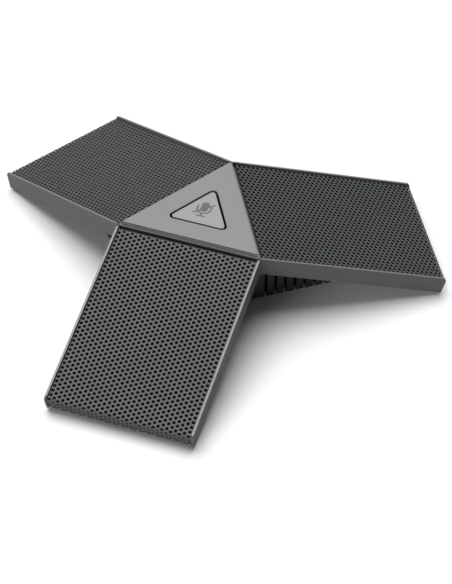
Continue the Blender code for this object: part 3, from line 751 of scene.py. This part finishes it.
@dataclass
class Grille:
    """A perforated steel sheet that lies in an arm's tray and folds down over its tip.

    Attributes:
        layout: Sizes that several pieces share.
        paints: The finishes.
        pitch: Distance between holes along the arm.
        hole_r: Radius of a hole.
        rim: Width and depth of the rounded lip round a hole.
        thick: Thickness of the sheet.
        recess: Depth of the sheet below the rails.
        fold_r: Outer radius of the fold at the tip.
        tip_s: The folded face's distance down the arm.
        start_s: Where the sheet starts at the hub.
        end_w: Lower edge of the folded face.
        last_s: Middle of the last row of holes before the fold.
        fold_steps: How many strips the fold has.
        rows: How many pairs of rows lie along the arm, those over the fold included.
        fold_rows: How many of those reach past the last row on the flat.
        column_pairs: How many pairs of columns lie across the arm.
    """

    layout: Layout
    paints: Paintbox
    pitch: float = 0.0030
    hole_r: float = 0.00095
    rim: float = 0.00012
    thick: float = 0.0004
    recess: float = 0.0010
    fold_r: float = 0.0016
    tip_s: float = 0.1180
    start_s: float = 0.0008
    end_w: float = -0.0105
    last_s: float = 0.1158
    fold_steps: int = 5
    rows: int = 44
    fold_rows: int = 4
    column_pairs: int = 18

    def build(self) -> None:
        """Makes the sheet once and copies it to each arm."""
        sheet = self._cell()
        self._tile(sheet)
        self._trim(sheet)
        self._fold(sheet)
        for place in self.layout.arms():
            label = place.arm.label
            panel = Bench.copy(sheet, f"grille_panel_{label}")
            Bench.placed(panel, place.matrix)
            self.paints.dress(panel, "grille_painted_steel")
            finish_piece(panel, "housing", f"grille_{label}")
        bpy.data.objects.remove(sheet)

    @property
    def column(self) -> float:
        """Distance between two columns of holes."""
        return self.pitch * math.sqrt(3) / 2

    def _cell(self) -> bpy.types.Object:
        """Two six-sided cells, each with a lipped hole, side by side."""
        Bench.clear()
        lip_r, half = self.hole_r + self.rim, self.pitch / 2
        bpy.ops.mesh.primitive_circle_add(vertices=12, radius=lip_r)
        piece = Bench.added("grille_sheet")
        bpy.ops.mesh.select_all(action="SELECT")
        Bench.push((0, 0, 0), half / lip_r)
        Bench.pick(piece, lambda co: co.length < (lip_r + half) / 2, "EDGE")
        Bench.push((0, 0, -self.rim), self.hole_r / lip_r)
        Bench.push((0, 0, self.rim - self.thick))
        Bench.push((0, 0, 0), half / self.hole_r)
        Bench.pick(piece, lambda co: co.xy.length > half * 0.98
                   and round(math.degrees(math.atan2(co.y, co.x)) / 30) % 2 == 1)
        corner = 2 / math.sqrt(3)
        bpy.ops.transform.resize(value=(corner, corner, 1.0))
        bpy.ops.mesh.select_all(action="SELECT")
        bpy.ops.mesh.duplicate_move(
            TRANSFORM_OT_translate={"value": (half, self.column, 0)})
        Bench.close()
        return piece

    def _tile(self, sheet: bpy.types.Object) -> None:
        """Repeats the cells over the sheet, welds them and closes the outer border."""
        Bench.modify(sheet, "ARRAY", count=self.rows, use_relative_offset=False,
                     use_constant_offset=True, constant_offset_displace=(self.pitch, 0, 0))
        Bench.modify(sheet, "ARRAY", count=self.column_pairs, use_relative_offset=False,
                     use_constant_offset=True, constant_offset_displace=(0, 2 * self.column, 0))
        first_s = self.last_s - (self.rows - self.fold_rows) * self.pitch
        shift = (first_s, -(self.column_pairs - 1) * self.column, -self.recess)
        Bench.only(sheet)
        bpy.ops.object.mode_set(mode="EDIT")
        bpy.ops.mesh.select_mode(type="VERT")
        bpy.ops.mesh.select_all(action="SELECT")
        bpy.ops.mesh.remove_doubles(threshold=2e-5)
        bpy.ops.transform.translate(value=shift)
        bpy.ops.mesh.select_all(action="DESELECT")
        bpy.ops.mesh.select_non_manifold(
            extend=False, use_wire=False, use_boundary=True, use_multi_face=False,
            use_non_contiguous=False, use_verts=False)
        work = bmesh.from_edit_mesh(sheet.data)
        for vert in work.verts:
            if vert.co.z < -self.recess - self.thick / 2:
                vert.select = False
        work.select_flush(False)
        bmesh.update_edit_mesh(sheet.data)
        bpy.ops.mesh.select_mode(type="EDGE")
        Bench.push((0, 0, -self.thick))
        bpy.ops.mesh.select_all(action="SELECT")
        bpy.ops.mesh.remove_doubles(threshold=2e-5)
        bpy.ops.mesh.normals_make_consistent(inside=False)

    def _trim(self, sheet: bpy.types.Object) -> None:
        """Cuts the sheet to its outline and adds the strips that the fold needs."""
        half = self.layout.half_grille
        flat_end = self.tip_s - self.fold_r
        arc = self.fold_r * math.pi / 2
        end = flat_end + arc + (-self.end_w - self.recess - self.fold_r)
        for at, normal in (((0, half, 0), (0, 1, 0)), ((0, -half, 0), (0, -1, 0)),
                           ((self.start_s, 0, 0), (-1, 0, 0)), ((end, 0, 0), (1, 0, 0))):
            Bench.slice(sheet, Vector(at), Vector(normal), trim=True)
        for step in range(self.fold_steps + 1):
            at = Vector((flat_end + arc * step / self.fold_steps, 0, 0))
            Bench.slice(sheet, at, Vector((1, 0, 0)), trim=False)
        Bench.close()

    def _fold(self, sheet: bpy.types.Object) -> None:
        """Bends the sheet's end down over the tip."""
        flat_end = self.tip_s - self.fold_r
        arc = self.fold_r * math.pi / 2
        for vert in sheet.data.vertices:
            past = vert.co.x - flat_end
            if past <= 0:
                continue
            radius = self.fold_r + vert.co.z + self.recess
            angle = min(past / arc, 1.0) * math.pi / 2
            vert.co.x = flat_end + radius * math.sin(angle)
            vert.co.z = radius * math.cos(angle) - self.fold_r - self.recess - max(past - arc, 0)
        sheet.data.update()
        Bench.shade(sheet, 50)


@dataclass
class BackingCloth:
    """The black cloth stretched flat behind each grille.

    Attributes:
        layout: Sizes that several pieces share.
        paints: The finishes.
        thick: Thickness of the cloth.
        face_w: Height of its upper face above the arm's top, which is below zero.
        strips: How many strips it has each way.
        edge_r: Radius of its cut edges.
    """

    layout: Layout
    paints: Paintbox
    thick: float = 0.0004
    face_w: float = -0.0021
    strips: int = 12
    edge_r: float = 0.00008

    def build(self) -> None:
        low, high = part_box("grille_cloth_front")
        slope, hub_u = self.layout.slope, self.layout.hub_u
        start = (-high.y - hub_u - self.face_w * math.sin(slope)) / math.cos(slope)
        end = (-low.y - hub_u - self.face_w * math.sin(slope)) / math.cos(slope)
        width, length = high.x - low.x, end - start
        for place in self.layout.arms():
            label = place.arm.label
            Bench.clear()
            bpy.ops.mesh.primitive_grid_add(
                x_subdivisions=self.strips, y_subdivisions=self.strips, size=1)
            cloth = Bench.added(f"backing_cloth_{label}")
            bpy.ops.mesh.select_all(action="SELECT")
            bpy.ops.transform.resize(value=(length, width, 1.0))
            Bench.close()
            Bench.modify(cloth, "SOLIDIFY", thickness=self.thick, offset=-1.0)
            Bench.soften(cloth, self.edge_r, segments=1)
            Bench.placed(cloth, place.matrix @ Matrix.Translation(((start + end) / 2, 0, self.face_w)))
            Bench.shade(cloth)
            self.paints.dress(cloth, "acoustic_cloth_black")
            finish_piece(cloth, "housing", f"grille_cloth_{label}")


# ---- Housing, hub plate and button ----


@dataclass
class Housing:
    """The three trays and the hub as one moulding, with its edges rounded.

    Attributes:
        layout: Sizes that several pieces share.
        paints: The finishes.
        rail_cut: Size of the slope at the rails' ends.
        tip_cuts: Each cut of that slope: its turn in degrees and its depth, as a share of the size.
        edge_r: Radius of its edges.
    """

    layout: Layout
    paints: Paintbox
    rail_cut: float = 0.0024
    tip_cuts: tuple[tuple[float, float], ...] = ((45, 0.5), (25, 0.34), (65, 0.34))
    edge_r: float = 0.00022

    def build(self) -> None:
        """Slopes the rails' ends at the tips of a copy of the housing, rounds its edges and paints a
        highlight on the rails' tops.
        """
        shell = Bench.from_node("top_housing", "housing_shell")
        span = 2 * self.layout.half_grille + 8 * self.rail_cut
        for place in self.layout.arms():
            for degrees, share in self.tip_cuts:
                tool = Bench.block("tip_trim", (8 * self.rail_cut, span, 2 * self.rail_cut),
                                   (0, 0, self.rail_cut))
                Bench.close()
                angle = math.radians(degrees)
                away = Vector((math.sin(angle), 0, math.cos(angle))) * (self.rail_cut * share)
                Bench.placed(tool, place.matrix
                             @ Matrix.Translation(Vector((self.layout.arm_length, 0, 0)) - away)
                             @ Matrix.Rotation(angle, 4, "Y"))
                Bench.carve(shell, tool)
        Bench.soften(shell, self.edge_r)
        Bench.shade(shell)
        self.paints.dress(shell, "housing_satin_grey")
        shell.data.materials.append(self.paints.materials["rail_top_painted_highlight"])
        Bench.only(shell)
        shell.active_material_index = 1
        bpy.ops.object.mode_set(mode="EDIT")
        # The flat tops of the rails get the lighter grey copy, a painted highlight where they catch the
        # light.
        for place in self.layout.arms():
            back = place.matrix.inverted()
            normal = (place.matrix.to_3x3() @ Vector((0, 0, 1))).normalized()
            Bench.facing(shell, normal, lambda co: (back @ co).x > self.edge_r
                         and abs((back @ co).z) < self.edge_r / 10)
            bpy.ops.object.material_slot_assign()
        Bench.close()
        finish_piece(shell, "housing", "top_housing")


@dataclass
class HubPlate:
    """The raised three-cornered plate round the button.

    Attributes:
        layout: Sizes that several pieces share.
        paints: The finishes.
        inradius: Distance of its sides from the hub's axis.
        border: Width of the sloping border round its flat field.
        border_rise: The border's lower edge above the arms' inner edges.
        corner_r: Radius of its corners.
        skirt: Thickness of its side walls.
        top_wall: Thickness of its top.
        hole_inradius: Distance of the button hole's sides from the axis.
        hole_r: Radius of the hole's corners.
        painted_shade_seam: How far its grey reaches down its sides; below it the sides are black, a painted
            shade for the dark channel round the plate.
        edge_r: Radius of its edges.
    """

    layout: Layout
    paints: Paintbox
    inradius: float = 0.0255
    border: float = 0.0013
    border_rise: float = 0.0004
    corner_r: float = 0.0010
    skirt: float = 0.0020
    top_wall: float = 0.0025
    hole_inradius: float = 0.0116
    hole_r: float = 0.0034
    painted_shade_seam: float = 0.0007
    edge_r: float = 0.00018

    def build(self) -> None:
        """Raises the field, opens the hole, splits off the skirt, black as a painted shade, and rounds the
        edges.
        """
        low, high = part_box("hub_plate")[0].z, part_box("hub_plate")[1].z
        plate = Bench.wedge("hub_cap", self.inradius, self.corner_r, low,
                            self.layout.top_z + self.border_rise)
        Bench.only(plate)
        bpy.ops.object.mode_set(mode="EDIT")
        Bench.facing(plate, Vector((0, 0, 1)))
        bpy.ops.mesh.inset(thickness=self.border, depth=0.0)
        Bench.push((0, 0, high - self.layout.top_z - self.border_rise))
        Bench.close()
        Bench.carve(plate, Bench.wedge("plate_hollow", self.inradius - self.skirt, self.corner_r,
                                       low - self.skirt, high - self.top_wall))
        Bench.carve(plate, Bench.wedge("button_hole", self.hole_inradius, self.hole_r,
                                       low, high + self.skirt, steps=12))
        # The skirt below the seam is black: painted shade for the dark channel round the plate.
        skirt = Bench.copy(plate, "hub_cap_skirt")
        seam = Vector((0, 0, self.layout.top_z + self.border_rise - self.painted_shade_seam))
        for part, side in ((plate, -1), (skirt, 1)):
            Bench.only(part)
            bpy.ops.object.mode_set(mode="EDIT")
            Bench.slice(part, seam, Vector((0, 0, side)), trim=True)
            Bench.close()
            Bench.soften(part, self.edge_r)
            Bench.shade(part)
        self.paints.dress(plate, "plate_satin_grey")
        self.paints.dress(skirt, "skirt_painted_shade_black")
        finish_piece(plate, "housing", "hub_plate")
        finish_piece(skirt, "housing")


@dataclass
class MuteButton:
    """The three-cornered mute button with a muted microphone printed in its top.

    Attributes:
        layout: Sizes that several pieces share.
        paints: The finishes.
        inradius: Distance of its sides from the hub's axis.
        corner_r: Radius of its corners.
        thick: Thickness of its cap.
        boss_r: Radius of the boss that presses the switch.
        post_r: Radius of its three guide posts.
        post_at: Distance of the posts from the axis.
        edge_r: Radius of its edges.
        ink_deep: How far the icon's ink lies into the top.
        icon_at: Middle of the icon in plan.
        stroke: Width of the icon's lines.
        cradle_r: Radius of the icon's cradle.
        cradle_steps: How many bars make the cradle's round stretch.
    """

    layout: Layout
    paints: Paintbox
    inradius: float = 0.0102
    corner_r: float = 0.0021
    thick: float = 0.0016
    boss_r: float = 0.0040
    post_r: float = 0.0015
    post_at: float = 0.0125
    edge_r: float = 0.00025
    ink_deep: float = 0.00012
    icon_at: tuple[float, float] = (-0.0004, 0.0020)
    stroke: float = 0.0011
    cradle_r: float = 0.0041
    cradle_steps: int = 8

    def build(self) -> None:
        """Makes the cap on its boss and posts, and lays the icon into it."""
        low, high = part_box("mute_button")[0].z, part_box("mute_button")[1].z
        key = Bench.wedge("mute_key", self.inradius, self.corner_r, high - self.thick, high, steps=12)
        Bench.soften(key, self.edge_r, segments=3)
        joint = high - self.thick / 2
        boss_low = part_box("switch_plunger")[1].z + self.layout.grille_gap
        for name, radius, bottom, at in self._legs(low, boss_low):
            leg = Bench.drum(name, radius, bottom, joint, at, sides=32)
            Bench.close()
            Bench.carve(key, leg, "UNION")
        icon = self._icon(high)
        Bench.modify(key, "BOOLEAN", operation="DIFFERENCE", object=icon, solver="EXACT")
        Bench.only(icon)
        Bench.placed(icon, Matrix.Translation((0, 0, -self.ink_deep / 3)))
        self._cap_icon(icon, high)
        Bench.shade(key)
        self.paints.dress(key, "button_satin_grey")
        self.paints.dress(icon, "icon_ink")
        finish_piece(key, "button", "mute_button")
        finish_piece(icon, "button")

    def _legs(self, post_low: float, boss_low: float
              ) -> list[tuple[str, float, float, tuple[float, float]]]:
        """The boss and the three posts: name, radius, bottom and place."""
        legs = [("button_boss", self.boss_r, boss_low, (0.0, 0.0))]
        for corner in (-30, 90, 210):
            angle = math.radians(corner)
            at = (self.post_at * math.cos(angle), self.post_at * math.sin(angle))
            legs.append(("button_post", self.post_r, post_low, at))
        return legs

    def _bar(self, length: float, width: float, at: tuple[float, float], degrees: float,
             high: float) -> bpy.types.Object:
        """A round-ended bar of the icon, reaching from its ink's bed to above the button.

        Args:
            length: Length over its round ends.
            width: Width.
            at: Its middle, from the icon's middle.
            degrees: Its turn from +X.
            high: Height of the button's top.

        Returns:
            The bar.
        """
        bar = Bench.block("icon_bar", (length, width, 2 * self.ink_deep), (0, 0, 0))
        bpy.ops.mesh.select_mode(type="EDGE")
        bpy.ops.mesh.select_all(action="DESELECT")
        work = bmesh.from_edit_mesh(bar.data)
        for edge in work.edges:
            edge.select = abs(edge.verts[0].co.z - edge.verts[1].co.z) > self.ink_deep
        bmesh.update_edit_mesh(bar.data)
        bpy.ops.mesh.bevel(offset=width * 0.499, segments=8, affect="EDGES")
        Bench.close()
        Bench.placed(bar, Matrix.Translation((self.icon_at[0] + at[0], self.icon_at[1] + at[1], high))
                     @ Matrix.Rotation(math.radians(degrees), 4, "Z"))
        return bar

    def _icon(self, high: float) -> bpy.types.Object:
        """A plain microphone with its cradle, stem and foot, and a slash across it."""
        icon = self._bar(0.0086, 0.0046, (0, 0.0022), 90, high)
        icon.name = icon.data.name = "mute_icon"
        bars = [(0.0030, self.stroke, (side * self.cradle_r, 0.0015), 90) for side in (-1, 1)]
        for step in range(self.cradle_steps):
            angle = math.radians(180 + 180 * (step + 0.5) / self.cradle_steps)
            at = (self.cradle_r * math.cos(angle), 0.0006 + self.cradle_r * math.sin(angle))
            bars.append((0.0026, self.stroke, at, math.degrees(angle) + 90))
        stem = (0.0032, self.stroke, (0, -0.0048), 90)
        foot = (0.0058, self.stroke, (0, -0.0060), 0)
        slash = (0.0148, 0.0013, (0, 0.0006), 42)
        for length, width, at, degrees in (*bars, stem, foot, slash):
            Bench.carve(icon, self._bar(length, width, at, degrees, high), "UNION")
        return icon

    def _cap_icon(self, icon: bpy.types.Object, high: float) -> None:
        """Trims the icon to lie a hair below the button's top and clear of its bed."""
        Bench.only(icon)
        bpy.ops.object.mode_set(mode="EDIT")
        Bench.slice(icon, Vector((0, 0, high - self.ink_deep / 4)), Vector((0, 0, 1)), trim=True)
        Bench.close()


# ---- Base, feet, covers and screws ----


@dataclass
class Base:
    """The finned base and the covers that close the arms from below.

    Attributes:
        paints: The finishes.
        edge_r: Radius of their edges.
    """

    paints: Paintbox
    edge_r: float = 0.0003

    def build(self) -> None:
        """Rounds the base's fins and the covers' edges."""
        base = Bench.from_node("finned_base", "ribbed_base")
        Bench.soften(base, self.edge_r)
        Bench.shade(base)
        self.paints.dress(base, "base_black")
        finish_piece(base, "housing", "finned_base")
        for arm in Arm:
            cover = Bench.from_node(f"arm_cover_{arm.label}", f"under_cover_{arm.label}")
            Bench.soften(cover, self.edge_r)
            Bench.shade(cover)
            self.paints.dress(cover, "arm_cover_black")
            finish_piece(cover, "housing", f"arm_cover_{arm.label}")


@dataclass
class Feet:
    """The rubber feet, with rounded edges and grooves underneath.

    Attributes:
        paints: The finishes.
        groove: Width of a groove.
        deep: Depth of a groove.
        edge_r: Radius of the feet's edges.
        rings: How many round grooves the round foot has.
        bars: How many bars the grooves leave on a keel's foot.
    """

    paints: Paintbox
    groove: float = 0.0009
    deep: float = 0.0004
    edge_r: float = 0.0003
    rings: int = 4
    bars: int = 6

    def build(self) -> None:
        """Makes the round foot and the three keel feet."""
        low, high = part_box("centre_foot")
        foot = Bench.drum("centre_foot_pad", high.x, low.z, high.z, sides=96)
        Bench.facing(foot, Vector((0, 0, -1)))
        for _ in range(self.rings):
            bpy.ops.mesh.inset(thickness=3 * self.groove)
            bpy.ops.mesh.inset(thickness=self.groove)
            self._sink_ring(foot, low.z)
        self._end(foot, "centre_foot")
        for arm in Arm:
            self._keel_foot(arm)

    def _sink_ring(self, foot: bpy.types.Object, low: float) -> None:
        """Sinks the ring between the last two insets and selects the middle face again."""
        work = bmesh.from_edit_mesh(foot.data)
        middle = next(face for face in work.faces if face.select)
        ring = {face for edge in middle.edges for face in edge.link_faces} - {middle}
        middle.select_set(False)
        for face in ring:
            face.select_set(True)
        bmesh.update_edit_mesh(foot.data)
        Bench.push((0, 0, self.deep))
        Bench.facing(foot, Vector((0, 0, -1)), lambda co: co.xy.length < 1e-6 and co.z < low + 1e-6)

    def _keel_foot(self, arm: Arm) -> None:
        """A ribbed rubber bar under one keel."""
        twin = Bench.from_node(f"keel_foot_{arm.label}", f"keel_pad_{arm.label}")
        turn = Matrix.Rotation(math.radians(-arm.value), 4, "Z")
        Bench.placed(twin, turn)
        across = [vert.co.y for vert in twin.data.vertices]
        along = [vert.co.x for vert in twin.data.vertices]
        size = (max(along) - min(along) - 4 * self.groove, self.groove, 2 * self.deep)
        for index in range(1, self.bars):
            v = min(across) + (max(across) - min(across)) * index / self.bars
            tool = Bench.block("foot_groove", size, ((max(along) + min(along)) / 2, v, 0))
            Bench.close()
            Bench.carve(twin, tool)
        Bench.placed(twin, turn.inverted())
        self._end(twin, f"keel_foot_{arm.label}")

    def _end(self, foot: bpy.types.Object, node: str) -> None:
        """Rounds a foot, dresses it and rides it."""
        if bpy.context.mode != "OBJECT":
            Bench.close()
        Bench.soften(foot, self.edge_r)
        Bench.shade(foot)
        self.paints.dress(foot, "foot_rubber_black")
        finish_piece(foot, "housing", node)


@dataclass
class CrossScrew:
    """A screw with a cross recess, standing head down at the origin.

    Attributes:
        head_r: Radius of its head.
        head_h: Height of its head.
        shank_r: Radius over its thread.
        length: Length over all.
        thread: Pitch of its thread.
        root_share: Radius at the thread's root, as a share of shank_r.
        slot_long: Length of the recess's slots, as a share of head_r.
        slot_wide: Their width, as a share of head_r.
    """

    head_r: float
    head_h: float
    shank_r: float
    length: float
    thread: float = 0.0007
    root_share: float = 0.82
    slot_long: float = 1.15
    slot_wide: float = 0.28

    def model(self, name: str) -> bpy.types.Object:
        """Turns the screw out of a drum and presses the recess into its head."""
        screw = Bench.drum(name, self.head_r, 0.0, self.head_h, sides=32)
        Bench.facing(screw, Vector((0, 0, 1)))
        root = self.shank_r * self.root_share
        bpy.ops.mesh.inset(thickness=self.head_r - root)
        turns = int((self.length - self.head_h - self.thread) / self.thread)
        for _ in range(turns):
            Bench.push((0, 0, self.thread / 2), self.shank_r / root)
            Bench.push((0, 0, self.thread / 2), root / self.shank_r)
        Bench.push((0, 0, self.length - self.head_h - turns * self.thread), 0.5)
        Bench.pick(screw, lambda co: co.z < 1e-6 and co.xy.length > self.head_r * 0.9, "EDGE")
        bpy.ops.mesh.bevel(offset=self.head_h * 0.35, segments=3, affect="EDGES")
        Bench.close()
        for turned in (False, True):
            long, wide = self.head_r * self.slot_long, self.head_r * self.slot_wide
            plan = (wide, long) if turned else (long, wide)
            tool = Bench.block("recess", (*plan, self.head_h * 1.1), (0, 0, 0))
            Bench.pick(tool, lambda co: co.z > 0)
            bpy.ops.transform.resize(value=(0.5, 0.5, 1.0))
            Bench.close()
            Bench.carve(screw, tool)
        Bench.shade(screw)
        return screw


@dataclass
class Screws:
    """All the screws, each kind modelled once and copied.

    Attributes:
        layout: Sizes that several pieces share.
        paints: The finishes.
        arm_thick: Depth of the cover screws' heads below the arm's top.
        cover_from_tip: Distance of the cover screws from the arm's tip.
        cover_v: How far they stand off the arm's middle.
        cover_length: Length of a cover screw.
        board_u: Distance of the board screws from the hub's axis.
    """

    layout: Layout
    paints: Paintbox
    arm_thick: float = 0.0111
    cover_from_tip: float = 0.0085
    cover_v: float = 0.0350
    cover_length: float = 0.0063
    board_u: float = 0.0170

    def build(self) -> None:
        """Models the three kinds and stands each copy in its hole."""
        base_low, base_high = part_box("base_screw_front")
        base_u = -(base_low.y + base_high.y) / 2
        board_low, board_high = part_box("board_screw_front")
        base_screw = CrossScrew(0.0027, 0.0018, 0.0014, base_high.z - base_low.z).model("base_kind")
        board_screw = CrossScrew(0.0018, 0.0010, 0.0009, board_high.z - board_low.z).model("board_kind")
        cover_screw = CrossScrew(0.0018, 0.0010, 0.0009, self.cover_length).model("cover_kind")
        for place in self.layout.arms():
            label = place.arm.label
            turn = Matrix.Rotation(math.radians(place.arm.value), 4, "Z")
            self._stand(base_screw, f"base_screw_{label}",
                        turn @ Matrix.Translation((base_u, 0, base_low.z)))
            self._stand(board_screw, f"board_screw_{label}",
                        turn @ Matrix.Translation((self.board_u, 0, board_low.z)))
            for letter, side in (("a", -1), ("b", 1)):
                at = (self.layout.arm_length - self.cover_from_tip, side * self.cover_v, -self.arm_thick)
                self._stand(cover_screw, f"cover_screw_{label}_{letter}",
                            place.matrix @ Matrix.Translation(at))
        for kind in (base_screw, board_screw, cover_screw):
            bpy.data.objects.remove(kind)

    def _stand(self, kind: bpy.types.Object, node: str, matrix: Matrix) -> None:
        """Copies a screw into the place of its node."""
        screw = Bench.copy(kind, f"{node}_steel")
        Bench.placed(screw, matrix)
        self.paints.dress(screw, "screw_steel")
        finish_piece(screw, "housing", node)


@dataclass
class NetworkSocket:
    """The network socket: its moulding with a stepped mouth, and its contacts.

    Attributes:
        paints: The finishes.
        mouth_w: Width of the mouth.
        mouth_h: Height of the mouth.
        mouth_deep: Depth of the mouth.
        mouth_rise: Floor of the mouth above the moulding's underside.
        mouth_step: Distance of the mouth's shoulders behind its face.
        latch_w: Width of the notch for the plug's latch.
        latch_h: Height of that notch.
        contact_pitch: Distance between two contacts.
        contact_w: Width of a contact.
        contact_in: Distance of the contacts' ends behind the mouth's face.
        contact_bends: The two stretches that follow, as shifts.
        edge_r: Radius of the moulding's edges.
        contact_count: How many contacts it has.
    """

    paints: Paintbox
    mouth_w: float = 0.0118
    mouth_h: float = 0.0084
    mouth_deep: float = 0.0120
    mouth_rise: float = 0.0014
    mouth_step: float = 0.0006
    latch_w: float = 0.0062
    latch_h: float = 0.0016
    contact_pitch: float = 0.00102
    contact_w: float = 0.00045
    contact_in: float = 0.0030
    contact_bends: tuple[tuple[float, float, float], ...] = ((0, -0.0060, -0.0022), (0, -0.0015, -0.0002))
    edge_r: float = 0.0002
    contact_count: int = 8

    def build(self) -> None:
        """Makes the moulding and its contacts."""
        low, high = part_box("network_jack")
        shell = Bench.from_node("network_jack", "socket_shell")
        shoulder_w = (self.mouth_w - self.latch_w) / 2
        floor = low.z + self.mouth_rise
        for side in (-1, 1):
            size = (shoulder_w + self.edge_r, self.mouth_deep - self.mouth_step, self.latch_h + self.edge_r)
            centre = (side * (self.mouth_w - shoulder_w + self.edge_r) / 2,
                      high.y - self.mouth_step - size[1] / 2, floor + (self.latch_h - self.edge_r) / 2)
            tool = Bench.block("shoulder", size, centre)
            Bench.close()
            Bench.carve(shell, tool, "UNION")
        Bench.soften(shell, self.edge_r)
        Bench.shade(shell)
        self.paints.dress(shell, "socket_black")
        finish_piece(shell, "housing", "network_jack")
        self._contacts(high.y, floor + self.mouth_h)

    def _contacts(self, face_y: float, roof_z: float) -> None:
        """The sprung contacts that slope down from the mouth's roof, joined into one piece."""
        wire = self.contact_w / 2
        comb = None
        for index in range(self.contact_count):
            x = (index - (self.contact_count - 1) / 2) * self.contact_pitch
            pin = Bench.block("socket_contacts", (self.contact_w, wire, wire),
                              (x, face_y - self.contact_in, roof_z - 2 * wire))
            Bench.facing(pin, Vector((0, -1, 0)))
            for shift in self.contact_bends:
                Bench.push(shift)
            Bench.pick(pin, lambda co: True, "EDGE")
            bpy.ops.mesh.bevel(offset=wire * 0.2, segments=1, affect="EDGES")
            Bench.close()
            if comb is None:
                comb = pin
            else:
                Bench.clear()
                pin.select_set(True)
                comb.select_set(True)
                bpy.context.view_layer.objects.active = comb
                bpy.ops.object.join()
        Bench.shade(comb)
        self.paints.dress(comb, "contact_gold")
        finish_piece(comb, "housing")


NODE_FINISHES: dict[str, str] = {
    "mute_light_ring": "smoked_light_guide",
    "switch_plunger": "plunger_plastic",
    "mute_switch": "switch_plastic",
    "main_board": "board_green",
    "board_shield": "shield_tin",
    "mic_board": "board_green",
    "mic_capsule": "capsule_aluminium",
    "mic_gasket": "gasket_rubber",
    "mic_ribbon": "ribbon_film",
    "speaker_basket": "basket_steel",
    "speaker_magnet": "magnet_ferrite",
    "speaker_surround": "surround_rubber",
    "speaker_cone": "cone_paper",
}


def dress_nodes(paints: Paintbox) -> None:
    """Gives every frame node that still shows its finish."""
    for node in frame["nodes"]:
        for start, finish in NODE_FINISHES.items():
            if node.startswith(start):
                paints.dress_node(node, finish)


# ---- Studio ----


@dataclass
class Studio:
    """The pale floor, the soft lights and the camera.

    Attributes:
        camera_from_hub: The camera's place from the hub's top.
        camera_turn: The camera's turn in degrees, about X, Y and Z.
        lens: Focal length in millimetres.
        floor_size: Side of the floor.
        floor_drop: Distance of the floor below the feet.
        floor_tone: Colour of the floor.
        sky_strength: Strength of the light from all round.
    """

    camera_from_hub: Vector = field(default_factory=lambda: Vector((0.29871, -0.82491, 0.78095)))
    camera_turn: tuple[float, float, float] = (46.0901, -0.4859, 19.4562)
    lens: float = 122.26
    floor_size: float = 8.0
    floor_drop: float = 0.00005
    floor_tone: Colour = (0.76, 0.76, 0.765)
    sky_strength: float = 0.12

    def build(self) -> None:
        """Sets up the floor, the lights and the camera."""
        self._floor()
        self._lamp("key_light", (-0.25, 0.27, 0.93), 4.2, 62.0)
        self._lamp("front_light", (-0.24, -0.94, 0.20), 2.0, 30.0)
        self._sky()
        self._camera()

    def _floor(self) -> None:
        """A wide matt pale floor."""
        Bench.clear()
        bpy.ops.mesh.primitive_plane_add(size=self.floor_size, location=(0, 0, -self.floor_drop))
        floor = bpy.context.object
        floor.name = "studio_floor"
        paint = bpy.data.materials.new("studio_paper")
        paint.use_nodes = True
        shader = paint.node_tree.nodes["Principled BSDF"]
        shader.inputs["Base Color"].default_value = (*self.floor_tone, 1.0)
        shader.inputs["Roughness"].default_value = 0.9
        shader.inputs["Specular IOR Level"].default_value = 0.1
        floor.data.materials.append(paint)

    def _lamp(self, name: str, towards: tuple[float, float, float], power: float, spread: float
              ) -> None:
        """Adds a far soft light.

        Args:
            name: The light's name.
            towards: The way from the object to the light.
            power: Its strength.
            spread: How wide it looks from the object, in degrees.
        """
        data = bpy.data.lights.new(name, "SUN")
        data.energy, data.angle = power, math.radians(spread)
        lamp = bpy.data.objects.new(name, data)
        lamp.rotation_mode = "QUATERNION"
        lamp.rotation_quaternion = (-Vector(towards)).to_track_quat("-Z", "Y")
        bpy.context.scene.collection.objects.link(lamp)

    def _sky(self) -> None:
        """Even white light from all round."""
        world = bpy.data.worlds.new("studio_white")
        world.use_nodes = True
        background = world.node_tree.nodes["Background"]
        background.inputs["Color"].default_value = (1.0, 1.0, 1.0, 1.0)
        background.inputs["Strength"].default_value = self.sky_strength
        bpy.context.scene.world = world

    def _camera(self) -> None:
        """Adds the camera and makes it the scene's."""
        data = bpy.data.cameras.new("camera")
        data.lens = self.lens
        data.sensor_width = 36.0
        camera = bpy.data.objects.new("camera", data)
        camera.location = Vector((0, 0, Layout().top_z)) + self.camera_from_hub
        camera.rotation_euler = [math.radians(angle) for angle in self.camera_turn]
        bpy.context.scene.collection.objects.link(camera)
        bpy.context.scene.camera = camera
        bpy.context.scene.view_settings.view_transform = "Standard"


def main() -> None:
    """Builds every class in order."""
    logging.basicConfig(level=logging.INFO, format="%(name)s %(message)s")
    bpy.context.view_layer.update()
    layout = Layout()
    paints = Paintbox()
    paints.mix()
    Studio().build()
    dress_nodes(paints)
    Housing(layout, paints).build()
    HubPlate(layout, paints).build()
    MuteButton(layout, paints).build()
    Base(paints).build()
    Feet(paints).build()
    Screws(layout, paints).build()
    NetworkSocket(paints).build()
    BackingCloth(layout, paints).build()
    Grille(layout, paints).build()


if __name__ == "__main__":
    main()
